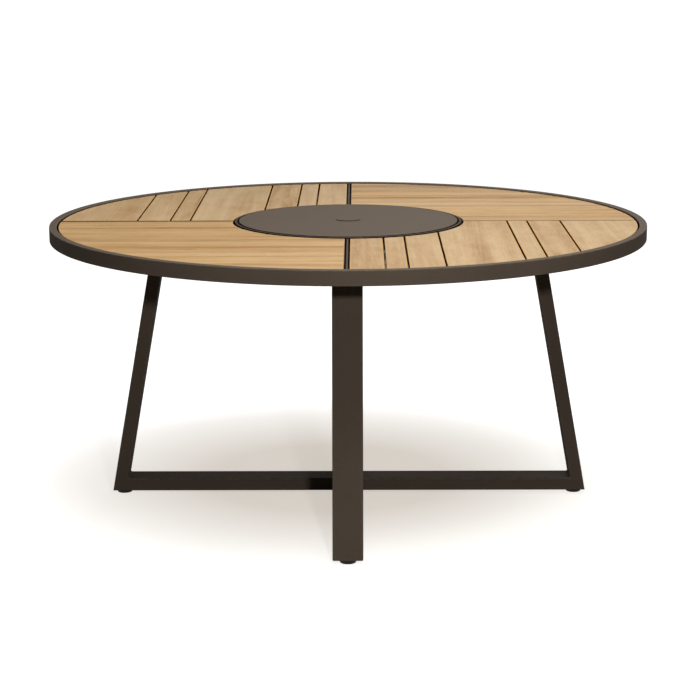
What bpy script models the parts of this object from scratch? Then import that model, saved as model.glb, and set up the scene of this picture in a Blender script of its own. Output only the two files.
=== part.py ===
"""Round outdoor dining table: a slatted wooden top in a metal rim, a turntable and a crossed sled base.

Metres, +Z up. The origin is on the floor under the middle of the table. The front is at -Y.
"""

import math

import bmesh
import bpy
from mathutils import Matrix, Vector

# Heights, from the floor
TABLE_HEIGHT = 0.762
FOOT_HEIGHT = 0.012

# Rim: a rectangular tube rolled into a ring, with a ledge inside that the slats lie on
RIM_RADIUS = 0.800
RIM_WIDTH = 0.020
RIM_HEIGHT = 0.038
RIM_WALL = 0.003
RIM_EDGE = 0.0015
RIM_LEDGE_REACH = 0.025
RIM_DRAINS = 8
DRAIN_RADIUS = 0.0025
DRAIN_SIDES = 8

# Slats
SLAT_THICKNESS = 0.020
SLAT_DROP = 0.0035
SLAT_GAP = 0.0045
SLAT_RIM_GAP = 0.0045
SLAT_COLLAR_GAP = 0.006
SLAT_FIRST = 0.0825
SLAT_NARROW = 0.0495
SLAT_MEDIUM = 0.085
SLAT_WIDE = 0.189

# Divider strips and the beams that carry them
DIVIDER_WIDTH = 0.005
DIVIDER_GAP = 0.004
DIVIDER_DROP = 0.001
BEAM_WIDTH = 0.050
BEAM_HEIGHT = 0.014
BEAM_WALL = 0.0025
BEAM_WELD_LAND = 0.001

# Battens under the slats
BATTEN_WIDTH = 0.040
BATTEN_HEIGHT = 0.012
BATTEN_OUT = 0.430
BATTEN_LEDGE_GAP = 0.003

# Turntable
DISC_RADIUS = 0.295
DISC_THICKNESS = 0.006
DISC_EDGE = 0.0015
DISC_LIP_DEPTH = 0.014
DISC_LIP_WALL = 0.003
HUB_RADIUS = 0.045
HUB_DEPTH = 0.016
COLLAR_GAP = 0.0045
COLLAR_WALL = 0.006
COLLAR_DROP = 0.0015
COLLAR_LEDGE_REACH = 0.0245
COLLAR_FLANGE_REACH = 0.0245
LEDGE_THICKNESS = 0.004
PAN_THICKNESS = 0.004
PAN_SIDE_GAP = 0.0005
PAN_SPOUT_WALL = 0.0035
PAN_SPOUT_DEPTH = 0.007

# Bearing of the turntable
BEARING_RADIUS = 0.125
RACE_WIDTH = 0.050
RACE_THICKNESS = 0.004
CAGE_WIDTH = 0.018
CAGE_THICKNESS = 0.002
BALL_DIAMETER = 0.006
BALLS = 12
BALL_SEGMENTS = 8
BALL_BANDS = 6

# Parasol hole and its cap
POLE_HOLE_RADIUS = 0.0265
CAP_RADIUS = 0.032
CAP_THICKNESS = 0.002
CAP_EDGE = 0.0008
CAP_PLUG_DEPTH = 0.012
CAP_PLUG_GAP = 0.0015
CAP_SEAT_DEPTH = 0.0005
CAP_SEAT_GAP = 0.0006

# Base: two crossing sleds of mitred rectangular tube
TUBE_WIDTH = 0.076
TUBE_THICKNESS = 0.035
TUBE_WALL = 0.003
TUBE_CORNER = 0.003
SLED_HALF_LENGTH = 0.652
LEG_TOP_REACH = 0.523

# Plates and bolts
LEG_PLATE_LENGTH = 0.130
LEG_PLATE_WIDTH = 0.080
LEG_PLATE_THICKNESS = 0.006
LEG_BOLT_REACH = 0.048
LEG_BOLT_SIDE = 0.014
CENTRE_PLATE_LENGTH = 0.220
CENTRE_PLATE_WIDTH = 0.070
CENTRE_PLATE_THICKNESS = 0.004
CENTRE_BOLT_OUTER = 0.092
CENTRE_BOLT_INNER = 0.060
CENTRE_BOLT_SIDE = 0.020
BOLT_HEAD_WIDTH = 0.013
BOLT_HEAD_HEIGHT = 0.0053
LOW_HEAD_HEIGHT = 0.0033
BOLT_SINK = 0.001
BOLT_HEAD_SIDES = 6

# Glides
GLIDE_TOP_RADIUS = 0.026
GLIDE_BOTTOM_RADIUS = 0.0195
GLIDE_BAND = 0.0025
GLIDE_EDGE = 0.001
GLIDE_INSET = 0.0285

# Gap that resting pieces keep, and distances under which points merge
SEAT = 0.0003
TURN_MERGE = 0.0001
WELD_MERGE = 0.000001

# Sides of the round pieces
RIM_STEPS = 96
TURNTABLE_STEPS = 72
SMALL_STEPS = 40
CORNER_STEPS = 2

# Heights and radii that follow
SLAT_TOP = TABLE_HEIGHT - SLAT_DROP
SLAT_UNDERSIDE = SLAT_TOP - SLAT_THICKNESS
LEDGE_TOP = SLAT_UNDERSIDE - SEAT
RIM_BOTTOM = TABLE_HEIGHT - RIM_HEIGHT
RIM_INNER = RIM_RADIUS - RIM_WIDTH
LEDGE_INNER = RIM_INNER - RIM_LEDGE_REACH
WOOD_RADIUS = RIM_INNER - SLAT_RIM_GAP
COLLAR_INNER = DISC_RADIUS + COLLAR_GAP
COLLAR_OUTER = COLLAR_INNER + COLLAR_WALL
WOOD_CUTOUT = COLLAR_OUTER + SLAT_COLLAR_GAP
SLOT_HALF = DIVIDER_WIDTH / 2 + DIVIDER_GAP
BEAM_BOTTOM = LEDGE_TOP - BEAM_HEIGHT
BEAM_INNER_END = COLLAR_OUTER + BEAM_WELD_LAND + SEAT
BEAM_OUTER_END = RIM_INNER - BEAM_WELD_LAND - SEAT
DISC_UNDERSIDE = TABLE_HEIGHT - DISC_THICKNESS
CAP_SEAT = TABLE_HEIGHT - CAP_SEAT_DEPTH
UPPER_RACE_TOP = DISC_UNDERSIDE - SEAT
BALL_TOP = UPPER_RACE_TOP - RACE_THICKNESS - SEAT
LOWER_RACE_TOP = BALL_TOP - BALL_DIAMETER - SEAT
PAN_TOP = LOWER_RACE_TOP - RACE_THICKNESS - SEAT
COLLAR_FLANGE_TOP = PAN_TOP - PAN_THICKNESS - SEAT
LEG_PLATE_TOP = BEAM_BOTTOM - SEAT
LEG_TOP = LEG_PLATE_TOP - LEG_PLATE_THICKNESS - SEAT
LEG_TILT = math.atan2(SLED_HALF_LENGTH - LEG_TOP_REACH, RIM_BOTTOM - FOOT_HEIGHT)

# Places in the order of the quarter turns about +Z that reach them from +X, or from the front right
SIDES = ("right", "back", "left", "front")
QUARTERS = ("front_right", "back_right", "back_left", "front_left")

COATING = ((0.055, 0.043, 0.036), 0.45, 0.35)
TEAK = ((0.60, 0.38, 0.19), 0.0, 0.55)
BLACK_NYLON = ((0.010, 0.010, 0.010), 0.0, 0.50)
STEEL = ((0.48, 0.48, 0.47), 1.0, 0.35)
RAW_ALUMINIUM = ((0.55, 0.55, 0.56), 1.0, 0.45)


def clear_scene():
    """Removes every object of the open scene."""
    for obj in list(bpy.data.objects):
        bpy.data.objects.remove(obj, do_unlink=True)


def new_collection(name):
    collection = bpy.data.collections.new(name)
    bpy.context.scene.collection.children.link(collection)
    return collection


def new_material(name, look):
    """A Principled material from a colour, a metallic value and a roughness."""
    colour, metallic, roughness = look
    material = bpy.data.materials.new(name)
    material.use_nodes = True
    shader = material.node_tree.nodes["Principled BSDF"]
    shader.inputs["Base Color"].default_value = (*colour, 1.0)
    shader.inputs["Metallic"].default_value = metallic
    shader.inputs["Roughness"].default_value = roughness
    material.diffuse_color = (*colour, 1.0)
    return material


def add_object(name, data, collection):
    obj = bpy.data.objects.new(name, data)
    collection.objects.link(obj)
    return obj


def as_cutter(obj):
    """Marks an object as a helper that is neither rendered nor built."""
    obj.hide_render = True
    obj.display_type = "WIRE"
    return obj


def box_mesh(name, low, high):
    """A closed box between two corners."""
    bm = bmesh.new()
    bmesh.ops.create_cube(bm, size=1.0)
    size = Vector(high) - Vector(low)
    middle = (Vector(high) + Vector(low)) / 2
    bmesh.ops.scale(bm, vec=size, verts=bm.verts)
    bmesh.ops.translate(bm, vec=middle, verts=bm.verts)
    mesh = bpy.data.meshes.new(name)
    bm.to_mesh(mesh)
    bm.free()
    return mesh


def cylinder_mesh(name, radius, low, high, sides, centre=(0.0, 0.0)):
    """A closed upright cylinder between two heights."""
    bm = bmesh.new()
    bmesh.ops.create_cone(
        bm, cap_ends=True, segments=sides, radius1=radius, radius2=radius, depth=high - low
    )
    bmesh.ops.translate(bm, vec=(*centre, (low + high) / 2), verts=bm.verts)
    mesh = bpy.data.meshes.new(name)
    bm.to_mesh(mesh)
    bm.free()
    return mesh


def profile_mesh(name, points, closed):
    """The edges of a profile in the XZ plane, given as (radius, height) pairs."""
    mesh = bpy.data.meshes.new(name)
    edges = [(i, i + 1) for i in range(len(points) - 1)]
    if closed:
        edges.append((len(points) - 1, 0))
    mesh.from_pydata([(radius, 0.0, height) for radius, height in points], edges, [])
    return mesh


def turned(name, points, steps, collection, closed=True):
    """A profile turned about Z. It starts at its inner top corner and runs down the outer side."""
    obj = add_object(name, profile_mesh(name, points, closed), collection)
    screw = obj.modifiers.new("Turn", "SCREW")
    screw.axis = "Z"
    screw.angle = 2 * math.pi
    screw.steps = steps
    screw.render_steps = steps
    screw.use_merge_vertices = True
    screw.merge_threshold = TURN_MERGE
    return obj


def add_boolean(obj, cutter, operation="DIFFERENCE"):
    modifier = obj.modifiers.new(operation.title(), "BOOLEAN")
    modifier.operation = operation
    modifier.solver = "EXACT"
    modifier.object = cutter
    return modifier


def settled_mesh(obj, name):
    """The object's mesh with its modifiers applied, welded, with flat faces joined."""
    bpy.context.view_layer.update()
    graph = bpy.context.evaluated_depsgraph_get()
    mesh = bpy.data.meshes.new_from_object(obj.evaluated_get(graph))
    mesh.name = name
    bm = bmesh.new()
    bm.from_mesh(mesh)
    bmesh.ops.remove_doubles(bm, verts=bm.verts, dist=WELD_MERGE)
    bm.to_mesh(mesh)
    bm.free()
    return mesh


def settle(obj):
    """Replaces an object's data by its settled mesh, keeping its name and place."""
    mesh = settled_mesh(obj, obj.data.name + "_mesh")
    collection = obj.users_collection[0]
    matrix = obj.matrix_world.copy()
    name = obj.name
    bpy.data.objects.remove(obj, do_unlink=True)
    fresh = add_object(name, mesh, collection)
    fresh.matrix_world = matrix
    return fresh


def shade_round(obj, degrees=30):
    obj.data.shade_smooth()
    obj.data.set_sharp_from_angle(angle=math.radians(degrees))


def finish(obj, material, smooth=False):
    obj.data.materials.clear()
    obj.data.materials.append(material)
    if smooth:
        shade_round(obj)


def turned_copies(source, names, collection, first=0, step=1):
    """Copies of one mesh, one for each name, turned about Z by first, first + step, ... quarter turns."""
    copies = []
    for index, name in enumerate(names):
        copy = add_object(name, source, collection)
        copy.rotation_euler.z = (first + index * step) * math.pi / 2
        copies.append(copy)
    return copies


def rounded_rectangle(width, height, radius):
    """The corner points of a rectangle with round corners, counter-clockwise."""
    points = []
    corners = [(1, 1, 0), (-1, 1, 1), (-1, -1, 2), (1, -1, 3)]
    for side_x, side_y, quarter in corners:
        centre_x = side_x * (width / 2 - radius)
        centre_y = side_y * (height / 2 - radius)
        for step in range(CORNER_STEPS + 1):
            angle = (quarter + step / CORNER_STEPS) * math.pi / 2
            points.append((centre_x + radius * math.cos(angle), centre_y + radius * math.sin(angle)))
    return points


def add_outline(curve, points):
    spline = curve.splines.new("POLY")
    spline.points.add(len(points) - 1)
    for target, (x, y) in zip(spline.points, points):
        target.co = (x, y, 0.0, 1.0)
    spline.use_cyclic_u = True


def extruded(name, outlines, length, collection):
    """A flat outline, with holes, stretched along its own Z. The result is a welded mesh object."""
    curve = bpy.data.curves.new(name, "CURVE")
    curve.dimensions = "2D"
    curve.fill_mode = "BOTH"
    curve.extrude = length / 2
    for points in outlines:
        add_outline(curve, points)
    return settle(add_object(name, curve, collection))


def tube_outlines():
    """Outer and inner outline of the base's tube: X is its thickness and Y its width."""
    outer = rounded_rectangle(TUBE_THICKNESS, TUBE_WIDTH, TUBE_CORNER)
    inner_thickness = TUBE_THICKNESS - 2 * TUBE_WALL
    inner_width = TUBE_WIDTH - 2 * TUBE_WALL
    x = inner_thickness / 2
    y = inner_width / 2
    return [outer, [(x, y), (-x, y), (-x, -y), (x, -y)]]


def slot_cutters(cutters):
    """Boxes that notch the rim's and the collar's ledges where the beams pass."""
    half = BEAM_WIDTH / 2 + SEAT
    low = (COLLAR_OUTER + BEAM_WELD_LAND, -half, BEAM_BOTTOM - SEAT)
    high = (RIM_INNER - BEAM_WELD_LAND, half, LEDGE_TOP + SLAT_THICKNESS / 2)
    mesh = box_mesh("beam_notch", low, high)
    names = [f"beam_notch_{side}" for side in SIDES]
    return [as_cutter(cutter) for cutter in turned_copies(mesh, names, cutters)]


def build_rim(parts, cutters, notches):
    """The hollow rim ring with its ledge, its notches for the beams and its drain holes."""
    profile = [
        (RIM_INNER, TABLE_HEIGHT),
        (RIM_RADIUS - RIM_EDGE, TABLE_HEIGHT),
        (RIM_RADIUS, TABLE_HEIGHT - RIM_EDGE),
        (RIM_RADIUS, RIM_BOTTOM + RIM_EDGE),
        (RIM_RADIUS - RIM_EDGE, RIM_BOTTOM),
        (RIM_INNER, RIM_BOTTOM),
        (RIM_INNER, LEDGE_TOP - LEDGE_THICKNESS),
        (LEDGE_INNER, LEDGE_TOP - LEDGE_THICKNESS),
        (LEDGE_INNER, LEDGE_TOP),
        (RIM_INNER, LEDGE_TOP),
    ]
    rim = turned("rim", profile, RIM_STEPS, parts)
    hollow = [
        (RIM_INNER + RIM_WALL, TABLE_HEIGHT - RIM_WALL),
        (RIM_RADIUS - RIM_WALL, TABLE_HEIGHT - RIM_WALL),
        (RIM_RADIUS - RIM_WALL, RIM_BOTTOM + RIM_WALL),
        (RIM_INNER + RIM_WALL, RIM_BOTTOM + RIM_WALL),
    ]
    cavity = as_cutter(turned("rim_cavity", hollow, RIM_STEPS, cutters))
    add_boolean(rim, cavity)
    for notch in notches:
        add_boolean(rim, notch)
    middle = RIM_RADIUS - RIM_WIDTH / 2
    for index in range(RIM_DRAINS):
        angle = 2 * math.pi * (index + 0.5) / RIM_DRAINS
        centre = (middle * math.cos(angle), middle * math.sin(angle))
        name = f"rim_drain_{index + 1}"
        low = RIM_BOTTOM - RIM_WALL
        high = RIM_BOTTOM + 2 * RIM_WALL
        mesh = cylinder_mesh(name, DRAIN_RADIUS, low, high, DRAIN_SIDES, centre)
        add_boolean(rim, as_cutter(add_object(name, mesh, cutters)))
    return rim


def build_collar(parts, notches):
    """The ring round the turntable: a ledge outside for the slats, a flange inside for the pan."""
    top = TABLE_HEIGHT - COLLAR_DROP
    ledge = COLLAR_OUTER + COLLAR_LEDGE_REACH
    flange = COLLAR_INNER - COLLAR_FLANGE_REACH
    profile = [
        (COLLAR_INNER, top),
        (COLLAR_OUTER, top),
        (COLLAR_OUTER, LEDGE_TOP),
        (ledge, LEDGE_TOP),
        (ledge, LEDGE_TOP - LEDGE_THICKNESS),
        (COLLAR_OUTER, LEDGE_TOP - LEDGE_THICKNESS),
        (COLLAR_OUTER, BEAM_BOTTOM),
        (COLLAR_INNER, BEAM_BOTTOM),
        (COLLAR_INNER, COLLAR_FLANGE_TOP - LEDGE_THICKNESS),
        (flange, COLLAR_FLANGE_TOP - LEDGE_THICKNESS),
        (flange, COLLAR_FLANGE_TOP),
        (COLLAR_INNER, COLLAR_FLANGE_TOP),
    ]
    collar = turned("turntable_collar", profile, TURNTABLE_STEPS, parts)
    for notch in notches:
        add_boolean(collar, notch)
    return collar


def beam_outlines():
    """Section of a beam with its divider strip. X is across the beam and Y is height over its bottom."""
    half = BEAM_WIDTH / 2
    strip = DIVIDER_WIDTH / 2
    strip_top = SLAT_TOP - DIVIDER_DROP - BEAM_BOTTOM
    outer = [
        (half, 0.0),
        (half, BEAM_HEIGHT),
        (strip, BEAM_HEIGHT),
        (strip, strip_top),
        (-strip, strip_top),
        (-strip, BEAM_HEIGHT),
        (-half, BEAM_HEIGHT),
        (-half, 0.0),
    ]
    x = half - BEAM_WALL
    inner = [(x, BEAM_WALL), (x, BEAM_HEIGHT - BEAM_WALL), (-x, BEAM_HEIGHT - BEAM_WALL), (-x, BEAM_WALL)]
    return [outer, inner]


def build_beams(parts, cutters):
    """Four hollow beams from the collar to the rim, each with the divider strip on top."""
    length = BEAM_OUTER_END - BEAM_INNER_END
    beam = extruded("beam_stock", beam_outlines(), length, cutters)
    place = Matrix.Translation(((BEAM_OUTER_END + BEAM_INNER_END) / 2, 0.0, BEAM_BOTTOM))
    lie_down = Matrix(((0, 0, 1, 0), (1, 0, 0, 0), (0, 1, 0, 0), (0, 0, 0, 1)))
    mesh = beam.data
    mesh.transform(place @ lie_down)
    bpy.data.objects.remove(beam, do_unlink=True)
    return turned_copies(mesh, [f"beam_{side}" for side in SIDES], parts)


def slat_edges():
    """The two sides of each slat of a quarter, measured out from the divider's middle."""
    widths = [SLAT_FIRST, SLAT_NARROW, SLAT_MEDIUM, SLAT_WIDE, SLAT_NARROW, SLAT_MEDIUM]
    edges = []
    start = SLOT_HALF
    for width in widths:
        edges.append((start, start + width))
        start += width + SLAT_GAP
    edges.append((start, WOOD_RADIUS + SLAT_GAP))
    return edges


def build_slats(parts, cutters):
    """Seven slats for each quarter, sawn round at the rim and at the turntable."""
    above = SLAT_TOP + SLAT_THICKNESS
    below = SLAT_UNDERSIDE - SLAT_THICKNESS
    disc_mesh = cylinder_mesh("wood_outline", WOOD_RADIUS, below, above, RIM_STEPS)
    disc = as_cutter(add_object("wood_outline", disc_mesh, cutters))
    hole_mesh = cylinder_mesh("wood_cutout", WOOD_CUTOUT, below, above, TURNTABLE_STEPS)
    hole = as_cutter(add_object("wood_cutout", hole_mesh, cutters))
    slats = []
    for number, (start, end) in enumerate(slat_edges(), 1):
        low = (start, -RIM_RADIUS, SLAT_UNDERSIDE)
        high = (end, -SLOT_HALF, SLAT_TOP)
        blank = add_object(f"slat_stock_{number}", box_mesh(f"slat_{number}", low, high), cutters)
        add_boolean(blank, disc, "INTERSECT")
        if start < WOOD_CUTOUT:
            add_boolean(blank, hole)
        mesh = settled_mesh(blank, f"slat_{number}")
        bpy.data.objects.remove(blank, do_unlink=True)
        names = [f"slat_{quarter}_{number}" for quarter in QUARTERS]
        slats += turned_copies(mesh, names, parts)
    return slats


def build_battens(parts):
    """One batten under each quarter, across its slats, from a beam to the rim's ledge."""
    inner = BEAM_WIDTH / 2 + SEAT
    far_side = BATTEN_OUT + BATTEN_WIDTH / 2
    reach = math.sqrt((LEDGE_INNER - BATTEN_LEDGE_GAP) ** 2 - far_side**2)
    low = (inner, -far_side, LEDGE_TOP - BATTEN_HEIGHT)
    high = (reach, -BATTEN_OUT + BATTEN_WIDTH / 2, LEDGE_TOP)
    mesh = box_mesh("batten", low, high)
    return turned_copies(mesh, [f"batten_{quarter}" for quarter in QUARTERS], parts)


def build_disc(parts):
    """The turntable's round plate: a lip at its edge, a hub round the parasol hole, a seat for the cap."""
    seat_radius = CAP_RADIUS + CAP_SEAT_GAP
    profile = [
        (POLE_HOLE_RADIUS, CAP_SEAT),
        (seat_radius, CAP_SEAT),
        (seat_radius, TABLE_HEIGHT),
        (DISC_RADIUS - DISC_EDGE, TABLE_HEIGHT),
        (DISC_RADIUS, TABLE_HEIGHT - DISC_EDGE),
        (DISC_RADIUS, TABLE_HEIGHT - DISC_LIP_DEPTH),
        (DISC_RADIUS - DISC_LIP_WALL, TABLE_HEIGHT - DISC_LIP_DEPTH),
        (DISC_RADIUS - DISC_LIP_WALL, DISC_UNDERSIDE),
        (HUB_RADIUS, DISC_UNDERSIDE),
        (HUB_RADIUS, TABLE_HEIGHT - HUB_DEPTH),
        (POLE_HOLE_RADIUS, TABLE_HEIGHT - HUB_DEPTH),
    ]
    return turned("turntable_disc", profile, TURNTABLE_STEPS, parts)


def build_pan(parts):
    """The fixed plate under the turntable, with a spout that guides the parasol's pole."""
    outer = COLLAR_INNER - PAN_SIDE_GAP
    under = PAN_TOP - PAN_THICKNESS
    spout = POLE_HOLE_RADIUS + PAN_SPOUT_WALL
    profile = [
        (POLE_HOLE_RADIUS, PAN_TOP),
        (outer, PAN_TOP),
        (outer, under),
        (spout, under),
        (spout, under - PAN_SPOUT_DEPTH),
        (POLE_HOLE_RADIUS, under - PAN_SPOUT_DEPTH),
    ]
    return turned("turntable_pan", profile, TURNTABLE_STEPS, parts)


def build_ring(name, top, width, thickness, parts):
    """A flat ring on the bearing's circle."""
    inner = BEARING_RADIUS - width / 2
    outer = BEARING_RADIUS + width / 2
    profile = [(inner, top), (outer, top), (outer, top - thickness), (inner, top - thickness)]
    return turned(name, profile, SMALL_STEPS, parts)


def build_ball_cage(parts, cutters):
    """The cage plate of the bearing with its balls."""
    middle = BALL_TOP - BALL_DIAMETER / 2
    cage = build_ring("bearing_ball_cage", middle + CAGE_THICKNESS / 2, CAGE_WIDTH, CAGE_THICKNESS, parts)
    for index in range(BALLS):
        angle = 2 * math.pi * (index + 0.5) / BALLS
        name = f"ball_{index + 1}"
        bm = bmesh.new()
        radius = BALL_DIAMETER / 2
        bmesh.ops.create_uvsphere(bm, u_segments=BALL_SEGMENTS, v_segments=BALL_BANDS, radius=radius)
        place = (BEARING_RADIUS * math.cos(angle), BEARING_RADIUS * math.sin(angle), middle)
        bmesh.ops.translate(bm, vec=place, verts=bm.verts)
        mesh = bpy.data.meshes.new(name)
        bm.to_mesh(mesh)
        bm.free()
        add_boolean(cage, as_cutter(add_object(name, mesh, cutters)), "UNION")
    return cage


def build_cap(parts):
    """The plug of the parasol hole, with a flat flange that lies in the disc's seat."""
    flange_bottom = CAP_SEAT + SEAT
    top = flange_bottom + CAP_THICKNESS
    plug = POLE_HOLE_RADIUS - CAP_PLUG_GAP
    profile = [
        (0.0, top),
        (CAP_RADIUS - CAP_EDGE, top),
        (CAP_RADIUS, top - CAP_EDGE),
        (CAP_RADIUS, flange_bottom),
        (plug, flange_bottom),
        (plug, TABLE_HEIGHT - CAP_PLUG_DEPTH),
        (0.0, TABLE_HEIGHT - CAP_PLUG_DEPTH),
    ]
    return turned("parasol_cap", profile, SMALL_STEPS, parts, closed=False)


def mitre_plane():
    """A point on the mitre between bar and leg, and its direction in the XZ plane, going up and in."""
    outer = Vector((SLED_HALF_LENGTH, 0.0, FOOT_HEIGHT))
    half_corner = (math.pi / 2 - LEG_TILT) / 2
    return outer, Vector((-math.cos(half_corner), 0.0, math.sin(half_corner)))


def half_space(name, point, along, keep_clear, stand_off, cutters):
    """A cutter box whose face spans the direction along and passes a point at a stand-off.

    keep_clear is the unit vector that points out of the box, to the side that stays.
    """
    half = SLED_HALF_LENGTH
    mesh = box_mesh(name, (-half, -half, -half), (half, half, 0.0))
    side = along.cross(keep_clear)
    basis = Matrix((along, side, keep_clear)).transposed().to_4x4()
    if basis.determinant() < 0:
        basis = Matrix((-along, side, keep_clear)).transposed().to_4x4()
    obj = add_object(name, mesh, cutters)
    obj.matrix_world = Matrix.Translation(point + keep_clear * stand_off) @ basis
    return as_cutter(obj)


def build_legs(parts, cutters):
    """Four hollow legs, mitred to the bars below and sawn level at the top."""
    length = (LEG_TOP - FOOT_HEIGHT) / math.cos(LEG_TILT) + 2 * TUBE_THICKNESS
    stock = extruded("leg_stock", tube_outlines(), length, cutters)
    up = Vector((-math.sin(LEG_TILT), 0.0, math.cos(LEG_TILT)))
    inwards = Vector((-math.cos(LEG_TILT), 0.0, -math.sin(LEG_TILT)))
    outer = Vector((SLED_HALF_LENGTH, 0.0, FOOT_HEIGHT))
    centre = outer + inwards * TUBE_THICKNESS / 2 + up * (length / 2 - TUBE_THICKNESS)
    stock.matrix_world = Matrix.Translation(centre) @ Matrix.Rotation(-LEG_TILT, 4, "Y")
    point, along = mitre_plane()
    normal = Vector((along.z, 0.0, -along.x))
    mitre = half_space("leg_mitre", point, along, normal, SEAT / 2, cutters)
    level = Vector((LEG_TOP_REACH, 0.0, LEG_TOP))
    top = half_space("leg_top", level, Vector((1, 0, 0)), Vector((0, 0, -1)), 0.0, cutters)
    add_boolean(stock, mitre)
    add_boolean(stock, top)
    mesh = settled_mesh(stock, "leg")
    mesh.transform(stock.matrix_world)
    bpy.data.objects.remove(stock, do_unlink=True)
    return turned_copies(mesh, [f"leg_{side}" for side in SIDES], parts)


def bar_stock(name, start, end, cutters):
    """A level tube along X between two places, standing on the glides' height."""
    stock = extruded(name, tube_outlines(), end - start, cutters)
    lie_down = Matrix.Rotation(math.pi / 2, 4, "Y")
    centre = Vector(((start + end) / 2, 0.0, FOOT_HEIGHT + TUBE_THICKNESS / 2))
    stock.matrix_world = Matrix.Translation(centre) @ lie_down
    return stock


def cut_bar(stock, saw_cuts, name):
    """The settled mesh of a bar with its ends sawn, in world space."""
    for saw_cut in saw_cuts:
        add_boolean(stock, saw_cut)
    mesh = settled_mesh(stock, name)
    mesh.transform(stock.matrix_world)
    bpy.data.objects.remove(stock, do_unlink=True)
    return mesh


def build_bars(parts, cutters):
    """The whole cross bar from left to right, and the two half bars that butt against it."""
    point, along = mitre_plane()
    normal = Vector((-along.z, 0.0, along.x))
    right = half_space("bar_mitre_right", point, along, normal, SEAT / 2, cutters)
    left = half_space("bar_mitre_left", point, along, normal, SEAT / 2, cutters)
    left.matrix_world = Matrix.Rotation(math.pi, 4, "Z") @ left.matrix_world
    whole = bar_stock("bar_stock", -SLED_HALF_LENGTH, SLED_HALF_LENGTH, cutters)
    whole_mesh = cut_bar(whole, [right, left], "cross_bar")
    butt_point = Vector((TUBE_WIDTH / 2, 0.0, FOOT_HEIGHT))
    butt = half_space("bar_butt", butt_point, Vector((0, 0, 1)), Vector((1, 0, 0)), SEAT, cutters)
    half = bar_stock("half_bar_stock", 0.0, SLED_HALF_LENGTH, cutters)
    half_mesh = cut_bar(half, [butt, right], "half_bar")
    half_bars = turned_copies(half_mesh, ["half_bar_back", "half_bar_front"], parts, first=1, step=2)
    return [add_object("cross_bar", whole_mesh, parts)] + half_bars


def add_bolt_heads(plate, places, plate_bottom, height, cutters):
    """Hexagon heads on the underside of a plate, joined to it."""
    radius = BOLT_HEAD_WIDTH / math.sqrt(3)
    for index, centre in enumerate(places, 1):
        name = f"{plate.name}_bolt_{index}"
        low = plate_bottom - height
        high = plate_bottom + BOLT_SINK
        mesh = cylinder_mesh(name, radius, low, high, BOLT_HEAD_SIDES, centre)
        add_boolean(plate, as_cutter(add_object(name, mesh, cutters)), "UNION")


def leg_axis_at(height):
    """Distance of a leg's middle line from the table's axis at a height."""
    outer = SLED_HALF_LENGTH - (height - FOOT_HEIGHT) * math.tan(LEG_TILT)
    return outer - TUBE_THICKNESS / (2 * math.cos(LEG_TILT))


def build_leg_plates(parts, cutters):
    """Four plates between legs and beams, with the heads of the bolts that go up into the beams."""
    middle = leg_axis_at(LEG_TOP)
    bottom = LEG_PLATE_TOP - LEG_PLATE_THICKNESS
    low = (middle - LEG_PLATE_LENGTH / 2, -LEG_PLATE_WIDTH / 2, bottom)
    high = (middle + LEG_PLATE_LENGTH / 2, LEG_PLATE_WIDTH / 2, LEG_PLATE_TOP)
    plate = add_object("leg_plate_stock", box_mesh("leg_plate", low, high), cutters)
    places = []
    for reach in (-LEG_BOLT_REACH, LEG_BOLT_REACH):
        for side in (-LEG_BOLT_SIDE, LEG_BOLT_SIDE):
            places.append((middle + reach, side))
    add_bolt_heads(plate, places, bottom, BOLT_HEAD_HEIGHT, cutters)
    mesh = settled_mesh(plate, "leg_plate")
    bpy.data.objects.remove(plate, do_unlink=True)
    return turned_copies(mesh, [f"leg_plate_{side}" for side in SIDES], parts)


def build_centre_plate(parts, cutters):
    """The plate under the crossing that ties the half bars to the whole bar."""
    top = FOOT_HEIGHT - SEAT
    bottom = top - CENTRE_PLATE_THICKNESS
    low = (-CENTRE_PLATE_WIDTH / 2, -CENTRE_PLATE_LENGTH / 2, bottom)
    high = (CENTRE_PLATE_WIDTH / 2, CENTRE_PLATE_LENGTH / 2, top)
    plate = add_object("centre_plate", box_mesh("centre_plate", low, high), parts)
    places = [(-CENTRE_BOLT_SIDE, 0.0), (CENTRE_BOLT_SIDE, 0.0)]
    for out in (CENTRE_BOLT_INNER, CENTRE_BOLT_OUTER):
        places += [(0.0, -out), (0.0, out)]
    add_bolt_heads(plate, places, bottom, LOW_HEAD_HEIGHT, cutters)
    return plate


def build_glides(parts):
    """Four tapered round glides under the ends of the bars."""
    top = FOOT_HEIGHT - SEAT
    profile = [
        (0.0, top),
        (GLIDE_TOP_RADIUS, top),
        (GLIDE_TOP_RADIUS, top - GLIDE_BAND),
        (GLIDE_BOTTOM_RADIUS, GLIDE_EDGE),
        (GLIDE_BOTTOM_RADIUS - GLIDE_EDGE, 0.0),
        (0.0, 0.0),
    ]
    glides = []
    reach = SLED_HALF_LENGTH - GLIDE_INSET
    for turn, side in enumerate(SIDES):
        glide = turned(f"glide_{side}", profile, SMALL_STEPS, parts, closed=False)
        angle = turn * math.pi / 2
        glide.location = (reach * math.cos(angle), reach * math.sin(angle), 0.0)
        glides.append(glide)
    return glides


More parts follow.
